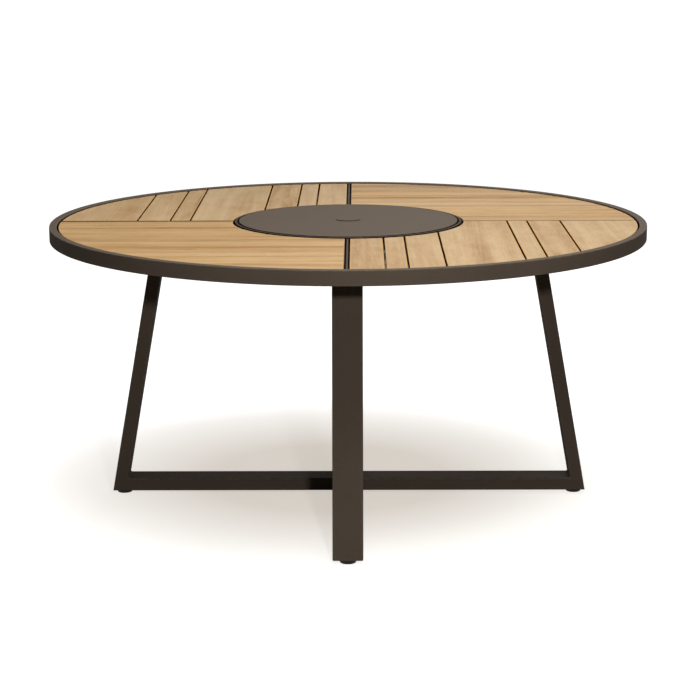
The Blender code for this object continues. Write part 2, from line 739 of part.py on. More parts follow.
def main():
    clear_scene()
    parts = new_collection("outdoor_dining_table")
    cutters = new_collection("cutters")
    coating = new_material("powder_coating", COATING)
    teak = new_material("teak", TEAK)
    nylon = new_material("black_nylon", BLACK_NYLON)
    steel = new_material("bearing_steel", STEEL)
    aluminium = new_material("raw_aluminium", RAW_ALUMINIUM)

    notches = slot_cutters(cutters)
    for piece in (build_rim(parts, cutters, notches), build_collar(parts, notches)):
        finish(piece, coating, smooth=True)
    for piece in build_beams(parts, cutters):
        finish(piece, coating)
    for piece in build_slats(parts, cutters):
        finish(piece, teak)
    for piece in build_battens(parts):
        finish(piece, aluminium)
    for piece in (build_disc(parts), build_pan(parts), build_cap(parts)):
        finish(piece, coating, smooth=True)
    upper = build_ring("bearing_upper_ring", UPPER_RACE_TOP, RACE_WIDTH, RACE_THICKNESS, parts)
    lower = build_ring("bearing_lower_ring", LOWER_RACE_TOP, RACE_WIDTH, RACE_THICKNESS, parts)
    for piece in (upper, build_ball_cage(parts, cutters), lower):
        finish(piece, steel, smooth=True)
    for piece in build_legs(parts, cutters) + build_bars(parts, cutters):
        finish(piece, coating, smooth=True)
    for piece in build_leg_plates(parts, cutters) + [build_centre_plate(parts, cutters)]:
        finish(piece, coating)
    for piece in build_glides(parts):
        finish(piece, nylon, smooth=True)


main()
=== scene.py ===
"""Dresses the packed outdoor dining table: fine pieces, finishes, a plain studio and a camera.

Metres, +Z up. The origin is on the floor under the middle of the table, and the front is at -Y.
"""

import math
import random

import bmesh
import bpy
from bpy.props import FloatProperty, FloatVectorProperty, IntProperty, PointerProperty
from bpy.types import Operator, Panel, PropertyGroup
from mathutils import Matrix, Vector


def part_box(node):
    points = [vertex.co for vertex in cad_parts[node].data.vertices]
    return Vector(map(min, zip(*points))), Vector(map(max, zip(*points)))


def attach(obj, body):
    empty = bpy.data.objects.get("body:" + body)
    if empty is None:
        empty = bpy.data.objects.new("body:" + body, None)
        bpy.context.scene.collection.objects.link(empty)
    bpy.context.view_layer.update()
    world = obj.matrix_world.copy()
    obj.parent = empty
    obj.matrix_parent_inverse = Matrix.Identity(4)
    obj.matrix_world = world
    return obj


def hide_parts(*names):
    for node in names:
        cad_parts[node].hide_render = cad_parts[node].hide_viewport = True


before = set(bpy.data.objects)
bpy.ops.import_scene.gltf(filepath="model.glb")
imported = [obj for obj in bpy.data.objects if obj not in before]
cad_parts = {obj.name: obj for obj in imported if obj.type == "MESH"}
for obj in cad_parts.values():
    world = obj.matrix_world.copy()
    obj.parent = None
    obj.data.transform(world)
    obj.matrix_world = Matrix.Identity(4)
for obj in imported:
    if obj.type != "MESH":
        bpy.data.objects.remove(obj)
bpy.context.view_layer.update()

bl_info = {
    "name": "Outdoor Dining Table",
    "version": (1, 0, 0),
    "blender": (4, 5, 0),
    "location": "3D View > Sidebar > Patio Table",
    "description": "Builds the finished pieces of a round outdoor dining table around its frame",
    "category": "Object",
}

# Places in the order of the quarter turns about +Z that reach them from +X, or from the front right
SIDES = ("right", "back", "left", "front")
QUARTERS = ("front_right", "back_right", "back_left", "front_left")
SLATS = 7

# Sizes that the frame gives
RIM_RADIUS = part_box("rim")[1].x
RIM_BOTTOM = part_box("rim")[0].z
RIM_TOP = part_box("rim")[1].z
SLAT_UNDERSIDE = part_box("slat_front_right_1")[0].z
SLAT_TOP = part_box("slat_front_right_1")[1].z
SLOT_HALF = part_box("slat_front_right_1")[0].x
COLLAR_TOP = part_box("turntable_collar")[1].z
DISC_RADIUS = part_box("turntable_disc")[1].x
DISC_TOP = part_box("turntable_disc")[1].z
HUB_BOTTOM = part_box("turntable_disc")[0].z
PAN_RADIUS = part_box("turntable_pan")[1].x
PAN_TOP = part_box("turntable_pan")[1].z
PAN_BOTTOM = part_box("turntable_pan")[0].z
CAP_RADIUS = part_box("parasol_cap")[1].x
CAP_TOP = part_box("parasol_cap")[1].z
CAP_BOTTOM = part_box("parasol_cap")[0].z
BEAM_INNER_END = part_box("beam_right")[0].x
BEAM_OUTER_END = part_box("beam_right")[1].x
BEAM_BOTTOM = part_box("beam_right")[0].z
BEAM_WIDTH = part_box("beam_right")[1].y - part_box("beam_right")[0].y
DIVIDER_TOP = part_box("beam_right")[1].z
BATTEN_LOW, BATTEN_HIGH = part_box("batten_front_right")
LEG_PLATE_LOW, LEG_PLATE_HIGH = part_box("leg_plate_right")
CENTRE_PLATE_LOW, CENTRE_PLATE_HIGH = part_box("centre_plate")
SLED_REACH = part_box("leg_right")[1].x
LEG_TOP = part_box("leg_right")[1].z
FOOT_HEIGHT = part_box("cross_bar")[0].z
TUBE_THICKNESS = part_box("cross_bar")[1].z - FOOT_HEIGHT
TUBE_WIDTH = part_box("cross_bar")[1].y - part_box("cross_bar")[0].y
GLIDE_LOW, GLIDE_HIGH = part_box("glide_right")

# Sizes of the sections, as the solids have them
SEAT = 0.0003
RIM_WIDTH = 0.020
LEDGE_REACH = 0.025
LEDGE_THICKNESS = 0.004
RIM_DRAINS = 8
DRAIN_RADIUS = 0.0025
DRAIN_DEPTH = 0.014
WOOD_RADIUS = 0.7755
WOOD_CUTOUT = 0.3115
COLLAR_INNER = 0.2995
COLLAR_OUTER = 0.3055
COLLAR_LEDGE_REACH = 0.0245
COLLAR_FLANGE_REACH = 0.0245
BEAM_HEIGHT = 0.014
BEAM_NOTCH_INSET = 0.001
DIVIDER_WIDTH = 0.005
DISC_THICKNESS = 0.006
DISC_LIP_DEPTH = 0.014
DISC_LIP_WALL = 0.003
HUB_RADIUS = 0.045
POLE_HOLE_RADIUS = 0.0265
PAN_THICKNESS = 0.004
PAN_SPOUT_WALL = 0.0035
CAP_THICKNESS = 0.002
CAP_PLUG_GAP = 0.0015
CAP_SEAT_DEPTH = 0.0005
CAP_SEAT_GAP = 0.0018
LEG_TOP_REACH = 0.523
LEG_PLATE_THICKNESS = 0.006
LEG_BOLT_REACH = 0.048
LEG_BOLT_SIDE = 0.014
CENTRE_PLATE_THICKNESS = 0.004
CENTRE_BOLT_OUTER = 0.092
CENTRE_BOLT_INNER = 0.060
CENTRE_BOLT_SIDE = 0.020
BATTEN_CORNER = 0.003
PLATE_CORNER = 0.004
BOLT_HEAD_WIDTH = 0.013
GLIDE_BOTTOM_RADIUS = 0.0195
GLIDE_BAND = 0.0025
GLIDE_GROOVE = 0.0006

# Heights and angles that follow
LEDGE_TOP = SLAT_UNDERSIDE - SEAT
RIM_INNER = RIM_RADIUS - RIM_WIDTH
LEG_TILT = math.atan2(SLED_REACH - LEG_TOP_REACH, RIM_BOTTOM - FOOT_HEIGHT)
LEG_FOOT = Vector((SLED_REACH, 0.0, FOOT_HEIGHT))
LEG_UP = Vector((-math.sin(LEG_TILT), 0.0, math.cos(LEG_TILT)))
LEG_INWARDS = Vector((-math.cos(LEG_TILT), 0.0, -math.sin(LEG_TILT)))
HALF_CORNER = (math.pi / 2 - LEG_TILT) / 2
MITRE_NORMAL = Vector((math.sin(HALF_CORNER), 0.0, math.cos(HALF_CORNER)))

# Bolt and screw heads. A screw is its head's radius and height, and its dome and socket are shares of them
BOLT_CHAMFER = 0.0007
BATTEN_SCREW = (0.0042, 0.0022)
LEDGE_SCREW = (0.0036, 0.0020)
PAN_SCREWS = 6
SCREW_CLEARANCE = 0.003
HEAD_SIDES = 48
DOME_STEPS = 4
DOME_SWEEP = 0.8
DOME_FULLNESS = 0.6
SOCKET_WIDTH = 0.75
SOCKET_RIM = 0.52
SOCKET_FLOOR = 0.35

# Weld beads: how deep they root, and their wave, bulge and thin ends as shares of their size
RIPPLE_STEPS = 4
BEAD_ROOT = 0.0002
BEAD_STEPS = 4
BEAD_WAVE = 0.14
BEAD_BULGE = 0.20
BEAD_END = 0.35
TOP_BEAD_SHARE = 0.8

# The slats' low tongues, which close the gaps between slats
TONGUE_HEIGHT = 0.006
TONGUE_REACH = 0.0038
TONGUE_ROOT = 0.001
TONGUE_LONG = 0.05
SLAT_CLEARANCE = 0.002

# How finely the slats' round ends and other eased shapes are divided, and which edges stay sharp
ARC_STEP = math.radians(1.25)
EASE_STEPS = 3
DRAIN_SIDES = 20
SHARP_ANGLE = math.radians(40.0)
MERGE_DISTANCE = 1e-6

# A side that is this many bands long has room for the bands in which its corners' wear fades
BANDS_ON_SIDE = 2.5

# The least cosine that an inset is divided by, so that a very sharp corner isn't moved far
LEAST_COSINE = 0.2

# The slats' boards: how pale they are in every other quarter and in the rest, and their places in a log
PALE_BOARDS = (0.75, 1.1)
PLAIN_BOARDS = (-0.15, 0.15)
LOG_LENGTH = 40.0
PITH_WANDER = 0.6

# Waves to the metre along and across the grain, for each layer of the wood's noise
BAND_WAVES = (0.5, 19.0, 19.0)
STREAK_WAVES = (1.6, 90.0, 90.0)
FIBRE_WAVES = (9.0, 620.0, 620.0)
FIGURE_WAVES = (9.0, 22.0, 22.0)
PORE_WAVES = (55.0, 1500.0, 1500.0)

# How far each layer shifts the wood's lightness, and the lightness that it shifts
RING_SHARE = 0.24
BAND_SHARE = 0.42
STREAK_SHARE = 0.17
FIBRE_SHARE = 0.09
FIGURE_SHARE = 0.13
TONE_SHARE = 0.11
RING_GROUND = 0.04
PLAIN_GROUND = 0.59
PALE_GROUND = 0.67
PALE_CONTRAST = 0.50

# Depths in a gap between which slats and metal are painted darker, as painted shade
SIDES_PAINTED_SHADE = (0.0006, 0.0016)
SIDES_DARK = (0.0016, 0.0080)
WALL_DARK = (0.0002, 0.0006)
LEVEL_DARK = (0.0005, 0.0030)

# The picture's frame
PICTURE_WIDTH = 700
SENSOR_WIDTH = 36.0

# The stage: the floor's painted shadow patch, how much of the background gloss shows, and the lamps
FLOOR_SIZE = 60.0
PAINTED_SHADOW_CENTRE = (-0.06, 0.14, 0.0)
PAINTED_SHADOW_REACH = (0.34, 0.97)
PAINTED_SHADOW_TINT = (1.0, 0.935, 0.85)
WHITE = (1.0, 1.0, 1.0)
FLOOR_GLOSS = 0.35
HORIZON = (0.02, 0.20)
HORIZON_GLOSS = (0.35, 0.20)
LAMP_TARGET = (0.0, 0.0, 0.5)
LAMPS = {
    "key": ((0.35, -3.50, 1.50), 0.12, (1.0, 0.98, 0.95)),
    "top": ((0.5, -0.9, 3.9), 3.0, (1.0, 0.99, 0.97)),
    "back": ((0.7, 4.6, 2.0), 2.0, (1.0, 0.99, 0.97)),
}


class PATIO_PG_edges(PropertyGroup):
    """Radii of the eased edges, and how finely round shapes are divided."""

    slat: FloatProperty(
        name="Slat edge", description="Radius of a slat's long edges", default=0.0013, unit="LENGTH"
    )
    slat_corner: FloatProperty(
        name="Slat corner", description="Radius of a slat's sawn corners", default=0.0024, unit="LENGTH"
    )
    rim: FloatProperty(
        name="Rim edge", description="Radius of the rim tube's corners", default=0.0020, unit="LENGTH"
    )
    tube: FloatProperty(
        name="Tube corner", description="Corner radius of legs and bars", default=0.0030, unit="LENGTH"
    )
    disc: FloatProperty(
        name="Disc edge", description="Radius of the turntable's upper edge", default=0.0015, unit="LENGTH"
    )
    sheet: FloatProperty(
        name="Sheet edge", description="Radius of plates' and ledges' edges", default=0.0006, unit="LENGTH"
    )
    nylon: FloatProperty(
        name="Glide edge", description="Radius of the glides' edges", default=0.0010, unit="LENGTH"
    )
    worn_band: FloatProperty(
        name="Worn band", description="Width over which edge wear fades", default=0.0022, unit="LENGTH"
    )
    bead: FloatProperty(
        name="Weld bead", description="Size of the weld beads", default=0.0036, unit="LENGTH"
    )
    ripple: FloatProperty(
        name="Bead ripple", description="Distance between a bead's ripples", default=0.0024, unit="LENGTH"
    )
    ring_steps: IntProperty(
        name="Ring steps", description="Sides of the large round pieces", default=288, min=32
    )
    corner_steps: IntProperty(
        name="Corner steps", description="Segments of a rounded corner", default=5, min=1
    )


class PATIO_PG_wood(PropertyGroup):
    """Colours and grain of the slats."""

    light: FloatVectorProperty(
        name="Light grain", description="Palest wood", subtype="COLOR", default=(0.76, 0.493, 0.236)
    )
    middle: FloatVectorProperty(
        name="Middle grain", description="Usual wood", subtype="COLOR", default=(0.62, 0.380, 0.170)
    )
    dark: FloatVectorProperty(
        name="Dark grain", description="Late wood and streaks", subtype="COLOR", default=(0.40, 0.207, 0.080)
    )
    pale_tint: FloatVectorProperty(
        name="Pale tint", description="What the paler boards' colour is multiplied by",
        default=(1.0, 1.09, 1.27),
    )
    # Painted highlight: the warm colour along the slats' eased edges
    arris_highlight: FloatVectorProperty(
        name="Arris", description="Warm oiled edges", subtype="COLOR", default=(0.80, 0.46, 0.15)
    )
    pores: FloatVectorProperty(
        name="Pores", description="Open pores in the grain", subtype="COLOR", default=(0.14, 0.06, 0.02)
    )
    # Painted shade: the dark colour of the slats' sides just below the top in the gaps
    sides: FloatVectorProperty(
        name="Sawn sides", description="Oiled sides", subtype="COLOR", default=(0.20, 0.095, 0.035)
    )
    # Painted shade: the near-black colour of the slats' sides and tongues deep in the gaps
    gap: FloatVectorProperty(
        name="Gap", description="Sides deep in the gaps", subtype="COLOR", default=(0.02, 0.009, 0.004)
    )
    end_grain: FloatVectorProperty(
        name="End grain", description="Sawn ends beside the dividers", subtype="COLOR",
        default=(0.10, 0.05, 0.025),
    )
    ring_spacing: FloatProperty(
        name="Ring spacing", description="Distance between growth rings", default=0.0062, unit="LENGTH"
    )
    pith_near: FloatProperty(
        name="Nearest pith", description="Least depth of the pith", default=0.035, unit="LENGTH"
    )
    pith_far: FloatProperty(
        name="Farthest pith", description="Greatest depth of the pith", default=0.130, unit="LENGTH"
    )
    slope: FloatProperty(
        name="Grain slope", description="Most that the grain rises along a slat", default=0.030
    )
    tone_spread: FloatProperty(
        name="Tone spread", description="How much slats differ in tone", default=1.0, min=0.0
    )
    seed: IntProperty(name="Seed", description="Chooses the boards", default=7)


class PATIO_PG_metal(PropertyGroup):
    """Colours of the metal and nylon pieces."""

    coating: FloatVectorProperty(
        name="Powder coating", description="Dark bronze coating", subtype="COLOR",
        default=(0.150, 0.116, 0.088),
    )
    worn: FloatVectorProperty(
        name="Worn coating", description="Coating on rubbed edges", subtype="COLOR",
        default=(0.210, 0.168, 0.134),
    )
    # Painted shade: the near-black colour of metal deep in the gaps
    gap: FloatVectorProperty(
        name="Gap", description="Metal deep in the gaps", subtype="COLOR", default=(0.003, 0.002, 0.0015)
    )
    nylon: FloatVectorProperty(
        name="Nylon", description="Black glides", subtype="COLOR", default=(0.010, 0.010, 0.010)
    )
    steel: FloatVectorProperty(
        name="Steel", description="Plated bearing steel", subtype="COLOR", default=(0.50, 0.50, 0.48)
    )
    aluminium: FloatVectorProperty(
        name="Aluminium", description="Raw extruded bars", subtype="COLOR", default=(0.56, 0.56, 0.57)
    )


class PATIO_PG_studio(PropertyGroup):
    """Camera, lamps and floor."""

    camera_place: FloatVectorProperty(
        name="Camera", description="Place of the camera", subtype="TRANSLATION", unit="LENGTH",
        default=(0.0250, -5.2159, 1.5344),
    )
    yaw: FloatProperty(
        name="Yaw", description="Turn of the view to the right", default=-0.0040, unit="ROTATION"
    )
    pitch: FloatProperty(
        name="Pitch", description="Tilt of the view below the horizon", default=0.20916, unit="ROTATION"
    )
    roll: FloatProperty(
        name="Roll", description="Turn of the picture", default=-0.0030, unit="ROTATION"
    )
    focal_pixels: FloatProperty(
        name="Focal length in pixels", description="Focal length in the picture's pixels", default=1946.18
    )
    key: FloatProperty(
        name="Key", description="Power of the lamp in front", default=25.0, min=0.0, unit="POWER"
    )
    top: FloatProperty(
        name="Top", description="Power of the large lamp above", default=108.0, min=0.0, unit="POWER"
    )
    back: FloatProperty(
        name="Back", description="Power of the soft lamp behind", default=16.0, min=0.0, unit="POWER"
    )
    ambient: FloatProperty(
        name="Ambient", description="Light from all round", default=0.04, min=0.0
    )
    # Painted shadow: the floor's glow in the middle of the patch under the table
    floor_glow: FloatProperty(
        name="Floor glow", description="White added under the table, where 1 is the background's",
        default=0.60, min=0.0, max=1.0,
    )
    floor: FloatVectorProperty(
        name="Floor", description="Pale floor", subtype="COLOR", default=(0.70, 0.685, 0.66)
    )
    floor_bounce: FloatVectorProperty(
        name="Floor bounce", description="Share of the light that the floor throws back up",
        subtype="COLOR", default=(0.12, 0.108, 0.096),
    )


def is_socket(value):
    return isinstance(value, bpy.types.NodeSocket)


def add_node(tree, kind, inputs=None, **settings):
    """Adds a shader node. An input given as a socket is linked, and any other value is set."""
    node = tree.nodes.new("ShaderNode" + kind)
    for name, value in settings.items():
        setattr(node, name, value)
    for key, value in (inputs or {}).items():
        socket = node.inputs[key]
        if is_socket(value):
            tree.links.new(value, socket)
        elif socket.type == "RGBA":
            socket.default_value = (*value, 1.0)
        else:
            socket.default_value = value
    return node


def calculate(tree, operation, first, second=0.0, clamp=False):
    node = add_node(tree, "Math", {0: first, 1: second}, operation=operation, use_clamp=clamp)
    return node.outputs[0]


def stretch(tree, vector, factors):
    return add_node(tree, "VectorMath", {0: vector, 1: factors}, operation="MULTIPLY").outputs[0]


def add_noise(tree, vector, scale=1.0, detail=2.0, roughness=0.5):
    inputs = {"Vector": vector, "Scale": scale, "Detail": detail, "Roughness": roughness}
    return add_node(tree, "TexNoise", inputs).outputs[0]


def remap(tree, value, low, high, to_low=0.0, to_high=1.0):
    inputs = {0: value, 1: low, 2: high, 3: to_low, 4: to_high}
    return add_node(tree, "MapRange", inputs, clamp=True).outputs[0]


def blend_colours(tree, factor, first, second, blend_type="MIX"):
    """Blends two colours. They are inputs 6 and 7 of the node, and the blend is its output 2."""
    inputs = {0: factor, 6: first, 7: second}
    return add_node(tree, "Mix", inputs, data_type="RGBA", blend_type=blend_type).outputs[2]


def add_ramp(tree, factor, stops):
    """A colour ramp from (position, colour) stops."""
    node = add_node(tree, "ValToRGB", {0: factor})
    elements = node.color_ramp.elements
    while len(elements) < len(stops):
        elements.new(1.0)
    for element, (position, colour) in zip(elements, stops):
        element.position = position
        element.color = (*colour, 1.0)
    return node.outputs[0]


def grey(value):
    return (value, value, value)


def distance_from_axis(tree, place):
    """Level distance of a place from the vertical axis through the origin."""
    level = stretch(tree, place, (1.0, 1.0, 0.0))
    return add_node(tree, "VectorMath", {0: level}, operation="LENGTH").outputs["Value"]


def read_attribute(tree, name, output):
    return add_node(tree, "Attribute", attribute_name=name, attribute_type="GEOMETRY").outputs[output]


def object_place(tree):
    return add_node(tree, "TexCoord").outputs["Object"]


def add_bump(tree, height, distance, strength):
    inputs = {"Height": height, "Distance": distance, "Strength": strength}
    return add_node(tree, "Bump", inputs).outputs[0]


def new_finish(name, metallic, specular):
    """An empty Principled material, with the values that are the same all over it."""
    material = bpy.data.materials.new(name)
    material.use_nodes = True
    tree = material.node_tree
    shader = tree.nodes["Principled BSDF"]
    shader.inputs["Metallic"].default_value = metallic
    shader.inputs["Specular IOR Level"].default_value = specular
    return material, tree, shader


def connect(tree, shader, colour, roughness, normal):
    tree.links.new(colour, shader.inputs["Base Color"])
    tree.links.new(roughness, shader.inputs["Roughness"])
    tree.links.new(normal, shader.inputs["Normal"])


def growth_rings(tree, grain, spacing):
    """Shade of the growth rings, from 0 to 1, for a place given from the pith of the log."""
    wander = calculate(tree, "SUBTRACT", add_noise(tree, stretch(tree, grain, (1.5, 11.0, 11.0))), 0.5)
    wobble = calculate(tree, "SUBTRACT", add_noise(tree, stretch(tree, grain, (9.0, 60.0, 60.0))), 0.5)
    across = stretch(tree, grain, (0.0, 1.0, 1.0))
    radius = add_node(tree, "VectorMath", {0: across}, operation="LENGTH").outputs["Value"]
    radius = calculate(tree, "ADD", radius, calculate(tree, "MULTIPLY", wander, 0.022))
    radius = calculate(tree, "ADD", radius, calculate(tree, "MULTIPLY", wobble, 0.0022))
    turn = calculate(tree, "FRACT", calculate(tree, "DIVIDE", radius, spacing))
    shades = ((0.0, 0.15), (0.12, 0.0), (0.70, 0.45), (0.90, 1.0), (1.0, 0.15))
    ring = add_ramp(tree, turn, [(position, grey(shade)) for position, shade in shades])
    strength = remap(tree, add_noise(tree, stretch(tree, grain, (0.9, 7.0, 7.0))), 0.35, 0.65, 0.25, 1.0)
    return calculate(tree, "MULTIPLY", ring, strength)


def board_measures(tree):
    """Measures within a slat: from its nearest edge, from its sawn end, and its height and paleness."""
    place = read_attribute(tree, "board_place", "Vector")
    sides = read_attribute(tree, "board_sides", "Vector")
    x, y, z = add_node(tree, "SeparateXYZ", {0: place}).outputs
    left, right, paleness = add_node(tree, "SeparateXYZ", {0: sides}).outputs
    radius = distance_from_axis(tree, place)
    from_end = calculate(tree, "SUBTRACT", -SLOT_HALF, y)
    nearest = from_end
    for other in (
        calculate(tree, "SUBTRACT", x, left),
        calculate(tree, "SUBTRACT", right, x),
        calculate(tree, "SUBTRACT", WOOD_RADIUS, radius),
        calculate(tree, "SUBTRACT", radius, WOOD_CUTOUT),
    ):
        nearest = calculate(tree, "MINIMUM", nearest, other)
    return nearest, from_end, z, paleness


def grain_layers(tree, grain):
    """Noises that run with the grain: broad bands, streaks, fibres, cross figure, and open pores."""
    waves = (BAND_WAVES, STREAK_WAVES, FIBRE_WAVES, FIGURE_WAVES)
    layers = [add_noise(tree, stretch(tree, grain, wave), 1.0, 3.0, 0.6) for wave in waves]
    pores = add_noise(tree, stretch(tree, grain, PORE_WAVES), 1.0, 1.0, 0.5)
    return *layers, remap(tree, pores, 0.60, 0.72)


def shift_by(tree, value, layer, share):
    """Moves a value up or down by a share of a noise."""
    swing = remap(tree, layer, 0.32, 0.68, -1.0, 1.0)
    return calculate(tree, "ADD", value, calculate(tree, "MULTIPLY", swing, share))


def paint_gap_shade_and_end_grain(tree, colour, wood, from_end, height):
    """Paints shade on a slat's sides and tongue in the gaps, not its underside, and darkens its end grain.
    """
    normal = add_node(tree, "NewGeometry").outputs["Normal"]
    upwards = add_node(tree, "SeparateXYZ", {0: normal}).outputs["Z"]
    in_gap = remap(tree, upwards, -0.90, -0.60)
    below = calculate(tree, "SUBTRACT", SLAT_TOP, height)
    # Painted shade: in the gaps the sides and tongues turn dark brown just below the top, and near black
    # deeper down
    oiled = calculate(tree, "MULTIPLY", in_gap, remap(tree, below, *SIDES_PAINTED_SHADE))
    colour = blend_colours(tree, oiled, colour, wood.sides)
    deep = calculate(tree, "MULTIPLY", in_gap, remap(tree, below, *SIDES_DARK, 0.0, 0.92))
    colour = blend_colours(tree, deep, colour, wood.gap)
    sawn = remap(tree, from_end, 0.0006, 0.0022, 0.92, 0.0)
    return blend_colours(tree, sawn, colour, wood.end_grain)


def make_teak(name):
    """Oiled teak with growth rings, streaks, fibres and pores that follow each board's own grain."""
    wood = bpy.context.scene.patio_wood
    material, tree, shader = new_finish(name, 0.0, 0.20)
    grain = read_attribute(tree, "grain_space", "Vector")
    tone = read_attribute(tree, "board_tone", "Fac")
    from_edge, from_end, height, paleness = board_measures(tree)
    rings = growth_rings(tree, grain, wood.ring_spacing)
    bands, streaks, fibres, figure, pores = grain_layers(tree, grain)

    value = calculate(tree, "SUBTRACT", RING_GROUND, calculate(tree, "MULTIPLY", rings, RING_SHARE))
    for layer, share in ((bands, BAND_SHARE), (streaks, STREAK_SHARE), (fibres, FIBRE_SHARE)):
        value = shift_by(tree, value, layer, share)
    value = calculate(tree, "MULTIPLY", value, remap(tree, paleness, 0.0, 1.0, 1.0, PALE_CONTRAST))
    value = calculate(tree, "ADD", value, remap(tree, paleness, 0.0, 1.0, PLAIN_GROUND, PALE_GROUND))
    value = shift_by(tree, value, figure, FIGURE_SHARE)
    value = calculate(tree, "ADD", value, calculate(tree, "MULTIPLY", tone, TONE_SHARE))

    colour = add_ramp(tree, value, [(0.08, wood.dark), (0.52, wood.middle), (0.95, wood.light)])
    paler = blend_colours(tree, 1.0, colour, wood.pale_tint, "MULTIPLY")
    bleached = calculate(tree, "MULTIPLY", paleness, remap(tree, value, 0.30, 0.75, 0.30, 1.0))
    colour = blend_colours(tree, bleached, colour, paler)
    colour = blend_colours(tree, calculate(tree, "MULTIPLY", pores, 0.30), colour, wood.pores)
    # Painted highlight: a warm band along each slat's edges, broken up by the streaks
    worn = remap(tree, from_edge, 0.0012, 0.0050, 1.0, 0.0)
    rubbed = calculate(tree, "MULTIPLY", worn, remap(tree, streaks, 0.35, 0.65, 0.35, 0.80))
    colour = blend_colours(tree, rubbed, colour, wood.arris_highlight)
    colour = paint_gap_shade_and_end_grain(tree, colour, wood, from_end, height)

    roughness = remap(tree, fibres, 0.25, 0.75, 0.50, 0.68)
    roughness = calculate(tree, "ADD", roughness, calculate(tree, "MULTIPLY", pores, 0.10))
    relief = calculate(tree, "MULTIPLY", streaks, 0.6)
    relief = calculate(tree, "ADD", relief, calculate(tree, "MULTIPLY", fibres, 0.5))
    relief = calculate(tree, "SUBTRACT", relief, calculate(tree, "MULTIPLY", pores, 0.6))
    relief = calculate(tree, "SUBTRACT", relief, calculate(tree, "MULTIPLY", rings, 0.3))
    connect(tree, shader, colour, roughness, add_bump(tree, relief, 0.0003, 0.35))
    return material


def painted_gap_shade(tree, place):
    """Painted shade: 1 on metal deep in the narrow gaps of the top, as if no light got in there.

    A gap's mouth is the slats' top outside the collar, the disc's top within it, and the cap's top at
    the cap. Upright faces are painted dark just below the mouth, the cap's raised edge too, and level
    ones lower down. Under the cap only its seat is painted dark, so that plug and hole look right when
    the cap is lifted.
    """
    normal = add_node(tree, "NewGeometry").outputs["Normal"]
    facing = calculate(tree, "ABSOLUTE", add_node(tree, "SeparateXYZ", {0: normal}).outputs["Z"])
    upright = remap(tree, facing, 0.35, 0.75, 1.0, 0.0)
    height = add_node(tree, "SeparateXYZ", {0: place}).outputs["Z"]
    radius = distance_from_axis(tree, place)
    within_collar = remap(tree, radius, COLLAR_OUTER - 0.001, COLLAR_OUTER + 0.001, 1.0, 0.0)
    mouth = remap(tree, within_collar, 0.0, 1.0, SLAT_TOP, DISC_TOP)
    seat_edge = CAP_RADIUS + CAP_SEAT_GAP
    beside_cap = (seat_edge, seat_edge + 0.0002)
    mouth = calculate(tree, "ADD", mouth, remap(tree, radius, *beside_cap, CAP_TOP - DISC_TOP, 0.0))
    below = calculate(tree, "SUBTRACT", mouth, height)

    wall = calculate(tree, "MULTIPLY", upright, remap(tree, below, *WALL_DARK))
    level = remap(tree, below, *LEVEL_DARK, 0.30, 1.0)
    level = calculate(tree, "MULTIPLY", level, remap(tree, below, 0.0003, 0.0005))
    shade = calculate(tree, "MAXIMUM", wall, level)
    under_cap = CAP_THICKNESS + CAP_SEAT_DEPTH + 0.0003
    deepest = remap(tree, radius, *beside_cap, under_cap, 1.0)
    within_rim = remap(tree, radius, RIM_RADIUS - 0.012, RIM_RADIUS - 0.004, 1.0, 0.0)
    over_ledge = remap(tree, height, LEDGE_TOP - 0.0012, LEDGE_TOP - 0.0004)
    for limit in (calculate(tree, "LESS_THAN", below, deepest), within_rim, over_ledge):
        shade = calculate(tree, "MULTIPLY", shade, limit)
    return shade


def make_coating(name):
    """Fine-textured bronze powder coating, a little burnished along its edges, with painted shade in the
    gaps.
    """
    metal = bpy.context.scene.patio_metal
    material, tree, shader = new_finish(name, 0.0, 0.08)
    place = object_place(tree)
    worn = read_attribute(tree, "edge_wear", "Fac")
    speckle = add_noise(tree, place, 1100.0, 2.0, 0.6)
    peel = add_noise(tree, place, 620.0, 1.0, 0.5)
    drift = add_noise(tree, place, 4.0, 3.0, 0.5)
    rub = add_noise(tree, place, 70.0, 3.0, 0.6)
    scuffs = add_noise(tree, stretch(tree, place, (36.0, 36.0, 9.0)), 1.0, 3.0, 0.7)
    scuffs = remap(tree, scuffs, 0.72, 0.78)

    deep = [channel * 0.80 for channel in metal.coating]
    bright = [channel * 1.22 for channel in metal.coating]
    colour = add_ramp(tree, speckle, [(0.30, deep), (0.50, metal.coating), (0.72, bright)])
    shade = remap(tree, drift, 0.30, 0.70, 0.93, 1.07)
    shade_colour = add_node(tree, "CombineColor", {0: shade, 1: shade, 2: shade}).outputs[0]
    colour = blend_colours(tree, 1.0, colour, shade_colour, "MULTIPLY")
    rubbed = calculate(tree, "MULTIPLY", worn, remap(tree, rub, 0.40, 0.65, 0.05, 0.55))
    rubbed = calculate(tree, "MAXIMUM", rubbed, calculate(tree, "MULTIPLY", scuffs, 0.30))
    colour = blend_colours(tree, rubbed, colour, metal.worn)
    # Painted shade: metal deep in the gaps is painted near black
    shaded = calculate(tree, "MULTIPLY", painted_gap_shade(tree, place), 0.97)
    colour = blend_colours(tree, shaded, colour, metal.gap)

    roughness = remap(tree, drift, 0.30, 0.70, 0.62, 0.72)
    roughness = calculate(tree, "SUBTRACT", roughness, calculate(tree, "MULTIPLY", rubbed, 0.14))
    relief = calculate(tree, "ADD", peel, calculate(tree, "MULTIPLY", speckle, 0.5))
    connect(tree, shader, colour, roughness, add_bump(tree, relief, 0.0002, 0.30))
    return material


